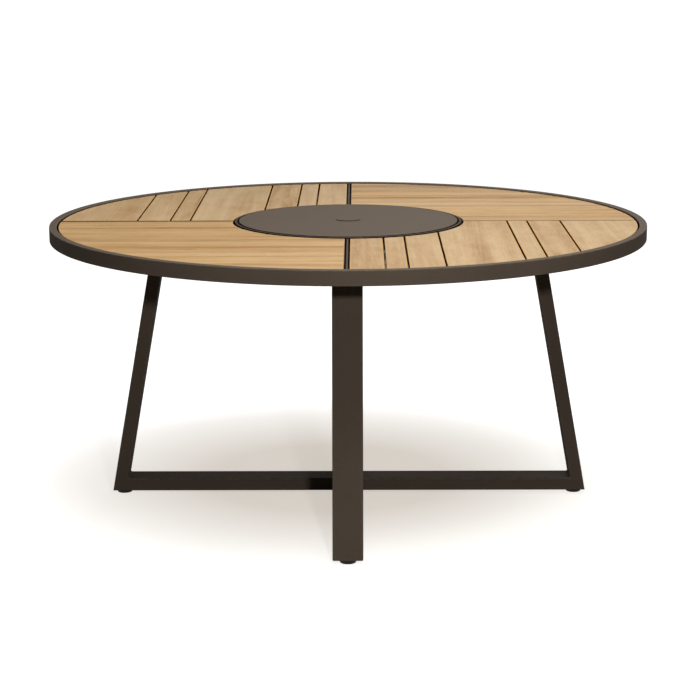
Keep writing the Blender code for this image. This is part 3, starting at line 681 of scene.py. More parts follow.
def make_nylon(name):
    """Moulded black nylon with a faint matt texture."""
    metal = bpy.context.scene.patio_metal
    material, tree, shader = new_finish(name, 0.0, 0.45)
    place = object_place(tree)
    fine = add_noise(tree, place, 900.0, 2.0, 0.6)
    scrape = add_noise(tree, stretch(tree, place, (40.0, 40.0, 500.0)), 1.0, 3.0, 0.6)
    pale = [channel * 2.4 for channel in metal.nylon]
    colour = add_ramp(tree, scrape, [(0.35, metal.nylon), (0.80, pale)])
    roughness = remap(tree, fine, 0.30, 0.70, 0.42, 0.62)
    connect(tree, shader, colour, roughness, add_bump(tree, fine, 0.0002, 0.30))
    return material


def make_steel(name):
    """Plated steel, turned on a lathe: fine rings round the axis and a soft bloom."""
    metal = bpy.context.scene.patio_metal
    material, tree, shader = new_finish(name, 1.0, 0.5)
    place = object_place(tree)
    rings = {"W": distance_from_axis(tree, place), "Scale": 2600.0, "Detail": 2.0}
    lines = add_node(tree, "TexNoise", rings, noise_dimensions="1D").outputs[0]
    bloom = add_noise(tree, place, 38.0, 3.0, 0.6)
    dull = [channel * 0.72 for channel in metal.steel]
    colour = add_ramp(tree, bloom, [(0.30, dull), (0.65, metal.steel)])
    roughness = remap(tree, lines, 0.30, 0.70, 0.26, 0.44)
    connect(tree, shader, colour, roughness, add_bump(tree, lines, 0.0001, 0.25))
    return material


def make_aluminium(name, along):
    """Raw extruded aluminium with drawing lines along the bar. along holds 0 for that direction."""
    metal = bpy.context.scene.patio_metal
    material, tree, shader = new_finish(name, 1.0, 0.5)
    place = object_place(tree)
    waves = [1800.0 if axis else 6.0 for axis in along]
    lines = add_noise(tree, stretch(tree, place, waves), 1.0, 2.0, 0.6)
    oxide = add_noise(tree, place, 22.0, 4.0, 0.6)
    dull = [channel * 0.62 for channel in metal.aluminium]
    colour = add_ramp(tree, oxide, [(0.32, dull), (0.62, metal.aluminium)])
    roughness = remap(tree, lines, 0.30, 0.70, 0.34, 0.56)
    connect(tree, shader, colour, roughness, add_bump(tree, lines, 0.0001, 0.25))
    return material


def finish_material(finish):
    """The material of a finish, made when it is first asked for."""
    makers = {
        "teak": make_teak,
        "powder_coating": make_coating,
        "black_nylon": make_nylon,
        "bearing_steel": make_steel,
        "raw_aluminium": lambda name: make_aluminium(name, (0, 1, 1)),
        "raw_aluminium_across": lambda name: make_aluminium(name, (1, 0, 1)),
    }
    if finish not in makers:
        raise RuntimeError(f"There is no finish named {finish}")
    name = f"detailed_{finish}"
    if name not in bpy.data.materials:
        makers[finish](name)
    return bpy.data.materials[name]


def place_mesh(name, bm):
    """An object in the scene with a bmesh's mesh. The bmesh is freed."""
    mesh = bpy.data.meshes.new(name)
    bm.to_mesh(mesh)
    bm.free()
    obj = bpy.data.objects.new(name, mesh)
    bpy.context.scene.collection.objects.link(obj)
    return obj


def smooth_faces(obj):
    """Smooth shading that keeps the sharp edges and leaves flat faces flat."""
    obj.data.shade_smooth()
    obj.data.set_sharp_from_angle(angle=SHARP_ANGLE)
    weighted = obj.modifiers.new("Weighted normals", "WEIGHTED_NORMAL")
    weighted.keep_sharp = True


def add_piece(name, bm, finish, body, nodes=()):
    """Makes a shown piece from a bmesh: shaded, finished, riding on a body and standing for its nodes."""
    bmesh.ops.recalc_face_normals(bm, faces=bm.faces)
    obj = place_mesh(name, bm)
    obj.data.materials.append(finish_material(finish))
    smooth_faces(obj)
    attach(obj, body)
    if nodes:
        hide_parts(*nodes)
    return obj


def turn_to(quarter_turns):
    return Matrix.Rotation(quarter_turns * math.pi / 2, 4, "Z")


def filleted(corners, steps, band=0.0):
    """Rounds the corners of a closed outline.

    corners are (x, y, radius). The result is a list of (x, y, wear), where wear is 1 on a corner's arc
    and 0 at a band's width from it, where the sides are long enough to hold such a point.
    """
    places = [Vector((x, y)) for x, y, _ in corners]
    halves = []
    cuts = []
    for index, (_, _, radius) in enumerate(corners):
        to_last = places[index - 1] - places[index]
        to_next = places[(index + 1) % len(places)] - places[index]
        halves.append(to_last.angle(to_next) / 2)
        cuts.append(radius / math.tan(halves[index]))
    outline = []
    for index, (_, _, radius) in enumerate(corners):
        here = places[index]
        last = index - 1
        after = (index + 1) % len(places)
        to_last = (places[last] - here).normalized()
        to_next = (places[after] - here).normalized()
        room_last = (places[last] - here).length - cuts[index] - cuts[last]
        room_next = (places[after] - here).length - cuts[index] - cuts[after]
        if band and room_last > BANDS_ON_SIDE * band:
            outline.append((*(here + to_last * (cuts[index] + band)), 0.0))
        if radius == 0.0:
            outline.append((*here, 1.0))
        else:
            middle = here + (to_last + to_next).normalized() * (radius / math.sin(halves[index]))
            first = here + to_last * cuts[index] - middle
            final = here + to_next * cuts[index] - middle
            sweep = first.angle_signed(final)
            for step in range(steps + 1):
                spoke = first.copy()
                spoke.rotate(Matrix.Rotation(-sweep * step / steps, 2))
                outline.append((*(middle + spoke), 1.0))
        if band and room_next > BANDS_ON_SIDE * band:
            outline.append((*(here + to_next * (cuts[index] + band)), 0.0))
    return outline


def new_bmesh():
    """A bmesh with the layer that marks worn edges."""
    bm = bmesh.new()
    return bm, bm.verts.layers.float.new("edge_wear")


def solid_outline(half, steps, band=0.0):
    """Outline of a round piece that is solid to its axis, from its outer corners, top to bottom."""
    mirrored = [(-x, z, radius) for x, z, radius in reversed(half)]
    outline = [point for point in filleted(half + mirrored, steps, band) if point[0] > 0.0]
    return [(0.0, half[0][1], 0.0)] + outline + [(0.0, half[-1][1], 0.0)]


def spun(outline, steps, closed=True):
    """A bmesh of an outline of (radius, height, wear) turned about Z."""
    bm, wear = new_bmesh()
    verts = []
    for radius, height, worn in outline:
        vert = bm.verts.new((radius, 0.0, height))
        vert[wear] = worn
        verts.append(vert)
    edges = [bm.edges.new(pair) for pair in zip(verts, verts[1:])]
    if closed:
        edges.append(bm.edges.new((verts[-1], verts[0])))
    bmesh.ops.spin(
        bm, geom=verts + edges, cent=(0, 0, 0), axis=(0, 0, 1),
        angle=2 * math.pi, steps=steps, use_merge=True,
    )
    bmesh.ops.remove_doubles(bm, verts=bm.verts, dist=MERGE_DISTANCE)
    bmesh.ops.dissolve_degenerate(bm, edges=bm.edges, dist=MERGE_DISTANCE)
    return bm


def bridge(bm, rings, closed=True):
    """Joins rings of as many vertices with quads."""
    for lower, upper in zip(rings, rings[1:]):
        count = len(lower)
        for index in range(count if closed else count - 1):
            after = (index + 1) % count
            bm.faces.new((lower[index], lower[after], upper[after], upper[index]))


def inset(outline, distance):
    """The outline moved inwards by a distance. It runs counter-clockwise."""
    moved = []
    count = len(outline)
    for index in range(count):
        here = Vector(outline[index][:2])
        to_last = (Vector(outline[index - 1][:2]) - here).normalized()
        to_next = (Vector(outline[(index + 1) % count][:2]) - here).normalized()
        normal_last = Vector((to_last.y, -to_last.x))
        normal_next = Vector((-to_next.y, to_next.x))
        normal = (normal_last + normal_next).normalized()
        moved.append(here + normal * (distance / max(normal.dot(normal_next), LEAST_COSINE)))
    return moved


def eased_slab(bm, wear, outline, low, high, edge, band, place):
    """Adds a flat piece with rounded edges. outline runs counter-clockwise in the XY plane of place."""
    lower = []
    for step in range(EASE_STEPS + 1):
        angle = step / EASE_STEPS * math.pi / 2
        lower.append((edge * (1 - math.sin(angle)), edge * (1 - math.cos(angle)), 1.0))
    if band:
        lower.insert(0, (edge + band, 0.0, 0.0))
        if high - low > 3 * band + 2 * edge:
            lower.append((0.0, edge + band, 0.0))
    levels = [(distance, low + rise, worn) for distance, rise, worn in lower]
    levels += [(distance, high - rise, worn) for distance, rise, worn in reversed(lower)]
    rings = []
    for distance, height, worn in levels:
        ring = []
        for point, (_, _, corner) in zip(inset(outline, distance), outline):
            vert = bm.verts.new(place @ Vector((point.x, point.y, height)))
            vert[wear] = worn if distance > edge else max(worn, corner)
            ring.append(vert)
        rings.append(ring)
    bridge(bm, rings)
    bm.faces.new(rings[0][::-1])
    bm.faces.new(rings[-1])


def cut(obj, cutters):
    """Takes the cutters out of an object's mesh, and removes them."""
    obj.modifiers.clear()
    for cutter in cutters:
        modifier = obj.modifiers.new(cutter.name, "BOOLEAN")
        modifier.solver = "EXACT"
        modifier.object = cutter
    bpy.context.view_layer.update()
    graph = bpy.context.evaluated_depsgraph_get()
    mesh = bpy.data.meshes.new_from_object(obj.evaluated_get(graph))
    mesh.name = obj.name
    obj.modifiers.clear()
    obj.data = mesh
    smooth_faces(obj)
    for cutter in cutters:
        bpy.data.objects.remove(cutter, do_unlink=True)


def beam_notches():
    """Cutters for the notches in the ledges, where the beams pass."""
    half = BEAM_WIDTH / 2 + SEAT
    low = Vector((COLLAR_OUTER + BEAM_NOTCH_INSET, -half, BEAM_BOTTOM - SEAT))
    high = Vector((RIM_INNER - BEAM_NOTCH_INSET, half, LEDGE_TOP + BEAM_HEIGHT / 2))
    cutters = []
    for turn, side in enumerate(SIDES):
        bm = bmesh.new()
        bmesh.ops.create_cube(bm, size=1.0)
        bmesh.ops.scale(bm, vec=high - low, verts=bm.verts)
        bmesh.ops.translate(bm, vec=(high + low) / 2, verts=bm.verts)
        bmesh.ops.transform(bm, matrix=turn_to(turn), verts=bm.verts)
        cutters.append(place_mesh(f"notch_{side}", bm))
    return cutters


def drain_holes():
    """Cutters for the drain holes in the rim's underside."""
    cutters = []
    middle = RIM_RADIUS - RIM_WIDTH / 2
    for index in range(RIM_DRAINS):
        angle = 2 * math.pi * (index + 0.5) / RIM_DRAINS
        bm = bmesh.new()
        bmesh.ops.create_cone(
            bm, cap_ends=True, segments=DRAIN_SIDES,
            radius1=DRAIN_RADIUS, radius2=DRAIN_RADIUS, depth=DRAIN_DEPTH,
        )
        centre = (middle * math.cos(angle), middle * math.sin(angle), RIM_BOTTOM)
        bmesh.ops.translate(bm, vec=centre, verts=bm.verts)
        cutters.append(place_mesh(f"drain_{index + 1}", bm))
    return cutters


class PATIO_OT_build_rim(Operator):
    """Builds the rolled rim tube with its ledge, notches and drain holes"""

    bl_idname = "patio_table.build_rim"
    bl_label = "Build Rim"

    def execute(self, context):
        edges = context.scene.patio_edges
        ledge_inner = RIM_INNER - LEDGE_REACH
        ledge_bottom = LEDGE_TOP - LEDGE_THICKNESS
        corners = [
            (RIM_INNER, RIM_TOP, edges.rim),
            (RIM_RADIUS, RIM_TOP, edges.rim),
            (RIM_RADIUS, RIM_BOTTOM, edges.rim),
            (RIM_INNER, RIM_BOTTOM, edges.rim),
            (RIM_INNER, ledge_bottom, 0.0),
            (ledge_inner, ledge_bottom, edges.sheet),
            (ledge_inner, LEDGE_TOP, edges.sheet),
            (RIM_INNER, LEDGE_TOP, 0.0),
        ]
        bm = spun(filleted(corners, edges.corner_steps, edges.worn_band), edges.ring_steps)
        rim = add_piece("rim_tube", bm, "powder_coating", "table", ["rim"])
        cut(rim, beam_notches() + drain_holes())
        return {"FINISHED"}


def arc_points(radius, first_x, last_x):
    """Points of an arc at the front right, from one x to another, as (x, y, is a corner)."""
    first = math.atan2(-math.sqrt(radius**2 - first_x**2), first_x)
    last = math.atan2(-math.sqrt(radius**2 - last_x**2), last_x)
    steps = max(2, math.ceil(abs(last - first) / ARC_STEP))
    points = []
    for step in range(steps + 1):
        angle = first + (last - first) * step / steps
        points.append((radius * math.cos(angle), radius * math.sin(angle), step in (0, steps)))
    return points


def slat_outline(start, end):
    """Outline of a slat of the front right quarter as (x, y, is a corner), counter-clockwise."""
    outer_end = min(end, math.sqrt(WOOD_RADIUS**2 - SLOT_HALF**2))
    cutout_end = math.sqrt(WOOD_CUTOUT**2 - SLOT_HALF**2)
    outline = arc_points(WOOD_RADIUS, start, outer_end)
    if cutout_end < end == outer_end:
        outline.append((end, -SLOT_HALF, True))
    if start < cutout_end:
        outline += arc_points(WOOD_CUTOUT, min(end, cutout_end), start)
    else:
        outline.append((start, -SLOT_HALF, True))
    return outline


def add_tongue(bm, right, low):
    """Adds the low tongue that closes the gap beside a slat, up to the next one."""
    inner = COLLAR_OUTER + SLAT_CLEARANCE
    start = -math.sqrt((RIM_INNER - LEDGE_REACH - SLAT_CLEARANCE) ** 2 - right**2)
    end = -math.sqrt(inner**2 - right**2) if right < inner else -SLOT_HALF
    first = Vector((right - TONGUE_ROOT, start, low))
    last = Vector((right + TONGUE_REACH, end, low + TONGUE_HEIGHT))
    made = bmesh.ops.create_cube(bm, size=1.0)["verts"]
    bmesh.ops.scale(bm, vec=last - first, verts=made)
    bmesh.ops.translate(bm, vec=(first + last) / 2, verts=made)
    edges = {edge for vert in made for edge in vert.link_edges}
    long_edges = [edge for edge in edges if edge.calc_length() > TONGUE_LONG]
    bmesh.ops.bevel(bm, geom=long_edges, offset=TONGUE_ROOT / 2, segments=2, profile=0.5, affect="EDGES")


class PATIO_OT_build_slats(Operator):
    """Builds the 28 slats, each with eased edges and its own place in a log"""

    bl_idname = "patio_table.build_slats"
    bl_label = "Build Slats"

    def execute(self, context):
        edges = context.scene.patio_edges
        wood = context.scene.patio_wood
        draw = random.Random(wood.seed)
        for number in range(1, SLATS + 1):
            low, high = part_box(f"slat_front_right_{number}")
            outer = high.x if number < SLATS else RIM_RADIUS
            places = slat_outline(low.x, outer)
            corners = [(x, y, edges.slat_corner if sawn else 0.0) for x, y, sawn in places]
            outline = filleted(corners, edges.corner_steps)
            for turn, quarter in enumerate(QUARTERS):
                bm, wear = new_bmesh()
                eased_slab(bm, wear, outline, low.z, high.z, edges.slat, 0.0, Matrix.Identity(4))
                if number < SLATS:
                    add_tongue(bm, high.x, low.z)
                paleness = max(0.0, draw.uniform(*(PLAIN_BOARDS if turn % 2 else PALE_BOARDS)))
                self.lay_grain(bm, draw, wood, low.x, outer, paleness)
                bmesh.ops.transform(bm, matrix=turn_to(turn), verts=bm.verts)
                name = f"slat_{quarter}_{number}"
                add_piece(f"teak_{name}", bm, "teak", "table", [name])
        return {"FINISHED"}

    def lay_grain(self, bm, draw, wood, left, right, paleness):
        """Gives a board its place in a log, its tone, and its own shape for the painted highlight along its
        edges.
        """
        grain = bm.verts.layers.float_vector.new("grain_space")
        place = bm.verts.layers.float_vector.new("board_place")
        sides = bm.verts.layers.float_vector.new("board_sides")
        tone = bm.verts.layers.float.new("board_tone")
        width = min(right, WOOD_RADIUS) - left
        pith_place = left + width * (0.5 + draw.uniform(-PITH_WANDER, PITH_WANDER))
        pith_depth = draw.uniform(wood.pith_near, wood.pith_far)
        slope = draw.uniform(-wood.slope, wood.slope)
        sweep = draw.uniform(-wood.slope, wood.slope) / 2
        log_place = draw.uniform(0.0, LOG_LENGTH)
        board_tone = draw.uniform(-1.0, 1.0) * wood.tone_spread
        for vert in bm.verts:
            along = vert.co.y
            across = vert.co.x - pith_place + sweep * along
            depth = vert.co.z - SLAT_TOP - pith_depth + slope * along
            vert[grain] = (along + log_place, across, depth)
            vert[place] = vert.co
            vert[sides] = (left, right, paleness)
            vert[tone] = board_tone


class PATIO_OT_build_turntable(Operator):
    """Builds the turntable's disc, the collar round it and the pan under it"""

    bl_idname = "patio_table.build_turntable"
    bl_label = "Build Turntable"

    def execute(self, context):
        edges = context.scene.patio_edges
        steps = edges.corner_steps
        seat_radius = CAP_RADIUS + CAP_SEAT_GAP
        underside = DISC_TOP - DISC_THICKNESS
        lip_bottom = DISC_TOP - DISC_LIP_DEPTH
        lip_inner = DISC_RADIUS - DISC_LIP_WALL
        disc = [
            (POLE_HOLE_RADIUS, DISC_TOP - CAP_SEAT_DEPTH, edges.sheet),
            (seat_radius, DISC_TOP - CAP_SEAT_DEPTH, 0.0),
            (seat_radius, DISC_TOP, edges.sheet / 3),
            (DISC_RADIUS, DISC_TOP, edges.disc),
            (DISC_RADIUS, lip_bottom, edges.sheet),
            (lip_inner, lip_bottom, edges.sheet),
            (lip_inner, underside, 0.0),
            (HUB_RADIUS, underside, 0.0),
            (HUB_RADIUS, HUB_BOTTOM, edges.sheet),
            (POLE_HOLE_RADIUS, HUB_BOTTOM, edges.sheet),
        ]
        bm = spun(filleted(disc, steps, edges.worn_band), edges.ring_steps)
        add_piece("turntable_plate", bm, "powder_coating", "turntable", ["turntable_disc"])

        ledge = COLLAR_OUTER + COLLAR_LEDGE_REACH
        ledge_bottom = LEDGE_TOP - LEDGE_THICKNESS
        flange = COLLAR_INNER - COLLAR_FLANGE_REACH
        flange_top = PAN_TOP - PAN_THICKNESS - SEAT
        flange_bottom = flange_top - LEDGE_THICKNESS
        collar = [
            (COLLAR_INNER, COLLAR_TOP, edges.sheet),
            (COLLAR_OUTER, COLLAR_TOP, edges.sheet),
            (COLLAR_OUTER, LEDGE_TOP, 0.0),
            (ledge, LEDGE_TOP, edges.sheet),
            (ledge, ledge_bottom, edges.sheet),
            (COLLAR_OUTER, ledge_bottom, 0.0),
            (COLLAR_OUTER, BEAM_BOTTOM, edges.sheet),
            (COLLAR_INNER, BEAM_BOTTOM, edges.sheet),
            (COLLAR_INNER, flange_bottom, 0.0),
            (flange, flange_bottom, edges.sheet),
            (flange, flange_top, edges.sheet),
            (COLLAR_INNER, flange_top, 0.0),
        ]
        bm = spun(filleted(collar, steps, edges.worn_band), edges.ring_steps)
        ring = add_piece("collar_ring", bm, "powder_coating", "table", ["turntable_collar"])
        cut(ring, beam_notches())

        under = PAN_TOP - PAN_THICKNESS
        spout = POLE_HOLE_RADIUS + PAN_SPOUT_WALL
        pan = [
            (POLE_HOLE_RADIUS, PAN_TOP, edges.sheet),
            (PAN_RADIUS, PAN_TOP, edges.sheet),
            (PAN_RADIUS, under, edges.sheet),
            (spout, under, 0.0),
            (spout, PAN_BOTTOM, edges.sheet),
            (POLE_HOLE_RADIUS, PAN_BOTTOM, edges.sheet),
        ]
        bm = spun(filleted(pan, steps, edges.worn_band), edges.ring_steps)
        add_piece("turntable_base_plate", bm, "powder_coating", "table", ["turntable_pan"])
        return {"FINISHED"}


class PATIO_OT_build_cap(Operator):
    """Builds the cap that plugs the parasol hole"""

    bl_idname = "patio_table.build_cap"
    bl_label = "Build Parasol Cap"

    def execute(self, context):
        edges = context.scene.patio_edges
        flange_bottom = CAP_TOP - CAP_THICKNESS
        plug = POLE_HOLE_RADIUS - CAP_PLUG_GAP
        half = [
            (CAP_RADIUS, CAP_TOP, edges.sheet / 2),
            (CAP_RADIUS, flange_bottom, edges.sheet / 2),
            (plug, flange_bottom, 0.0),
            (plug, CAP_BOTTOM, edges.sheet),
        ]
        outline = solid_outline(half, edges.corner_steps, edges.worn_band)
        bm = spun(outline, edges.ring_steps // 3, closed=False)
        add_piece("parasol_plug", bm, "powder_coating", "cap", ["parasol_cap"])
        return {"FINISHED"}


def tube_section(edges):
    """Section of the base's tube: (through its thickness, across its width, wear)."""
    half = TUBE_WIDTH / 2
    corners = [
        (0.0, -half, edges.tube),
        (TUBE_THICKNESS, -half, edges.tube),
        (TUBE_THICKNESS, half, edges.tube),
        (0.0, half, edges.tube),
    ]
    return filleted(corners, edges.corner_steps, edges.worn_band)


def tube_between(section, start_of, end_of, turn):
    """A bmesh of a tube whose ends are given for each point of its section."""
    bm, wear = new_bmesh()
    rings = []
    for end in (start_of, end_of):
        ring = []
        for depth, side, worn in section:
            vert = bm.verts.new(turn_to(turn) @ end(depth, side))
            vert[wear] = worn
            ring.append(vert)
        rings.append(ring)
    bridge(bm, rings)
    bm.faces.new(rings[0][::-1])
    bm.faces.new(rings[1])
    return bm


def leg_point(depth, side, height=None):
    """A point of the right leg at a depth from its outer face, on its mitre or at a height."""
    root = LEG_FOOT + LEG_INWARDS * depth + Vector((0.0, side, 0.0))
    if height is None:
        return root - LEG_UP * ((root - LEG_FOOT).dot(MITRE_NORMAL) / LEG_UP.dot(MITRE_NORMAL))
    return root + LEG_UP * ((height - root.z) / LEG_UP.z)


def leg_top(depth, side):
    """A point of the right leg's sawn top."""
    return leg_point(depth, side, LEG_TOP)


def right_bar_end(depth, side):
    """A point of the right end of a bar, on its mitre, at a height over its underside."""
    reach = LEG_FOOT.x - depth * MITRE_NORMAL.z / MITRE_NORMAL.x
    return Vector((reach, side, FOOT_HEIGHT + depth))


def left_bar_end(depth, side):
    """A point of the left end of the cross bar."""
    end = right_bar_end(depth, side)
    return Vector((-end.x, end.y, end.z))


def butt_end(depth, side):
    """A point of the end of a half bar, against the cross bar."""
    return Vector((TUBE_WIDTH / 2 + SEAT, side, FOOT_HEIGHT + depth))


def weld_bead(bm, path, first, second, size, ripple, closed):
    """Adds a rippled bead along a corner. first and second point away from it along its two faces."""
    rings = []
    travelled = 0.0
    total = sum((b - a).length for a, b in zip(path, path[1:]))
    for index, point in enumerate(path):
        if index:
            travelled += (point - path[index - 1]).length
        wave = abs(math.sin(math.pi * travelled / ripple))
        ends = 1.0 if closed else min(1.0, BEAD_END + min(travelled, total - travelled) / size)
        reach = size * ends * (1 - BEAD_WAVE + BEAD_WAVE * wave)
        along_first, along_second = first[index], second[index]
        ring = [bm.verts.new(point - (along_first + along_second) * BEAD_ROOT)]
        for step in range(BEAD_STEPS + 1):
            angle = step / BEAD_STEPS * math.pi / 2
            swell = 1 - BEAD_BULGE + BEAD_BULGE * abs(math.cos(2 * angle))
            offset = along_first * math.cos(angle) + along_second * math.sin(angle)
            ring.append(bm.verts.new(point + offset * reach * swell))
        rings.append(ring)
    bridge(bm, rings + rings[:1] if closed else rings)
    if not closed:
        bm.faces.new(rings[0][::-1])
        bm.faces.new(rings[-1])


class PATIO_OT_build_base(Operator):
    """Builds the four legs, the crossing bars and their welds"""

    bl_idname = "patio_table.build_base"
    bl_label = "Build Legs and Bars"

    def execute(self, context):
        edges = context.scene.patio_edges
        section = tube_section(edges)
        for turn, side in enumerate(SIDES):
            bm = tube_between(section, leg_point, leg_top, turn)
            add_piece(f"leg_tube_{side}", bm, "powder_coating", "table", [f"leg_{side}"])
            self.add_welds(edges, turn, side)
        bm = tube_between(section, left_bar_end, right_bar_end, 0)
        add_piece("floor_bar_whole", bm, "powder_coating", "table", ["cross_bar"])
        for side in ("back", "front"):
            bm = tube_between(section, butt_end, right_bar_end, SIDES.index(side))
            add_piece(f"floor_bar_{side}", bm, "powder_coating", "table", [f"half_bar_{side}"])
        return {"FINISHED"}

    def add_welds(self, edges, turn, side):
        """The bead in the corner of bar and leg, and the one round the leg's top."""
        bm, _ = new_bmesh()
        half = TUBE_WIDTH / 2 - edges.tube
        steps = int(2 * half / (edges.ripple / RIPPLE_STEPS))
        across = [-half + 2 * half * step / steps for step in range(steps + 1)]
        path = [right_bar_end(TUBE_THICKNESS, place) for place in across]
        inwards = [Vector((-1.0, 0.0, 0.0))] * len(path)
        upwards = [LEG_UP] * len(path)
        weld_bead(bm, path, inwards, upwards, edges.bead, edges.ripple, False)
        self.add_top_weld(bm, edges)
        bmesh.ops.transform(bm, matrix=turn_to(turn), verts=bm.verts)
        add_piece(f"leg_welds_{side}", bm, "powder_coating", "table")

    def add_top_weld(self, bm, edges):
        """The bead between the leg's top and its plate, all round the tube."""
        corners = [(x, y, edges.tube) for x, y in self.top_corners()]
        outline = [Vector(point[:2]) for point in filleted(corners, edges.corner_steps)]
        path, outwards, along = [], [], []
        for here, after in zip(outline, outline[1:] + outline[:1]):
            pieces = max(1, round((after - here).length / (edges.ripple / RIPPLE_STEPS)))
            heading = (after - here).normalized()
            for step in range(pieces):
                flat = here.lerp(after, step / pieces)
                path.append(Vector((flat.x, flat.y, LEG_TOP)))
                outwards.append(Vector((heading.y, -heading.x, 0.0)))
                along.append(-LEG_UP)
        weld_bead(bm, path, outwards, along, edges.bead * TOP_BEAD_SHARE, edges.ripple, True)

    def top_corners(self):
        """Corners of the leg's sawn top, counter-clockwise."""
        outer = leg_top(0.0, 0.0).x
        inner = leg_top(TUBE_THICKNESS, 0.0).x
        half = TUBE_WIDTH / 2
        return [(inner, -half), (outer, -half), (outer, half), (inner, half)]


class PATIO_OT_build_glides(Operator):
    """Builds the four tapered nylon glides"""

    bl_idname = "patio_table.build_glides"
    bl_label = "Build Glides"

    def execute(self, context):
        edges = context.scene.patio_edges
        radius = (GLIDE_HIGH.y - GLIDE_LOW.y) / 2
        top = GLIDE_HIGH.z
        half = [
            (radius - GLIDE_GROOVE, top, 0.0),
            (radius, top - GLIDE_GROOVE, 0.0),
            (radius, top - GLIDE_BAND, GLIDE_GROOVE),
            (GLIDE_BOTTOM_RADIUS + GLIDE_GROOVE, GLIDE_LOW.z + 2 * edges.nylon, GLIDE_GROOVE),
            (GLIDE_BOTTOM_RADIUS, GLIDE_LOW.z, edges.nylon),
        ]
        outline = solid_outline(half, edges.corner_steps)
        middle = (GLIDE_LOW.x + GLIDE_HIGH.x) / 2
        for turn, side in enumerate(SIDES):
            bm = spun(outline, edges.ring_steps // 4, closed=False)
            bmesh.ops.translate(bm, vec=(middle, 0.0, 0.0), verts=bm.verts)
            bmesh.ops.transform(bm, matrix=turn_to(turn), verts=bm.verts)
            add_piece(f"nylon_glide_{side}", bm, "black_nylon", "table", [f"glide_{side}"])
        return {"FINISHED"}


def hexagon_radius(angle, across_flats):
    """Distance from the middle of a hexagon to its side in a direction."""
    sixth = math.pi / 3
    return across_flats / 2 / math.cos((angle + sixth / 2) % sixth - sixth / 2)


def add_rings(bm, wear, centre, levels):
    """Adds a closed lofted piece from levels of (radius in each direction, height, wear)."""
    rings = []
    for radius_at, height, worn in levels:
        ring = []
        for index in range(HEAD_SIDES):
            angle = 2 * math.pi * index / HEAD_SIDES
            out = Vector((math.cos(angle), math.sin(angle))) * radius_at(angle)
            vert = bm.verts.new((centre.x + out.x, centre.y + out.y, height))
            vert[wear] = worn
            ring.append(vert)
        rings.append(ring)
    bridge(bm, rings)
    bm.faces.new(rings[0][::-1])
    bm.faces.new(rings[-1])


def round_at(radius):
    return lambda angle: radius


def hexagon_at(across_flats):
    return lambda angle: hexagon_radius(angle, across_flats)


def add_bolt_head(bm, wear, centre, top, height):
    """A hexagon bolt head that hangs under a face, with chamfered corners."""
    flat = BOLT_HEAD_WIDTH / 2
    hexagon = hexagon_at(BOLT_HEAD_WIDTH)

    def trimmed(angle):
        return min(hexagon(angle), flat + BOLT_CHAMFER / 2)

    levels = [
        (hexagon, top, 0.0),
        (hexagon, top - height + BOLT_CHAMFER, 0.3),
        (trimmed, top - height + BOLT_CHAMFER / 3, 1.0),
        (round_at(flat - BOLT_CHAMFER / 3), top - height, 1.0),
        (round_at(flat - 3 * BOLT_CHAMFER), top - height, 0.0),
    ]
    add_rings(bm, wear, centre, levels)


def add_screw_head(bm, wear, centre, top, size):
    """A low domed screw head under a face, with a hexagon socket. size holds its radius and height."""
    radius, height = size
    socket = hexagon_at(radius * SOCKET_WIDTH)
    levels = [(round_at(radius), top, 0.0)]
    for step in range(DOME_STEPS + 1):
        angle = step / DOME_STEPS * math.pi / 2 * DOME_SWEEP
        dome = round_at(radius * math.cos(angle) ** DOME_FULLNESS)
        levels.append((dome, top - height * math.sin(angle), 0.6))
    levels.append((round_at(radius * SOCKET_RIM), top - height, 0.3))
    levels.append((socket, top - height, 0.8))
    levels.append((socket, top - height * SOCKET_FLOOR, 0.0))
    add_rings(bm, wear, centre, levels)


def plate_outline(low, high, corner, edges):
    """Outline of a rectangular plate with rounded corners."""
    places = [(low.x, low.y), (high.x, low.y), (high.x, high.y), (low.x, high.y)]
    return filleted([(x, y, corner) for x, y in places], edges.corner_steps)


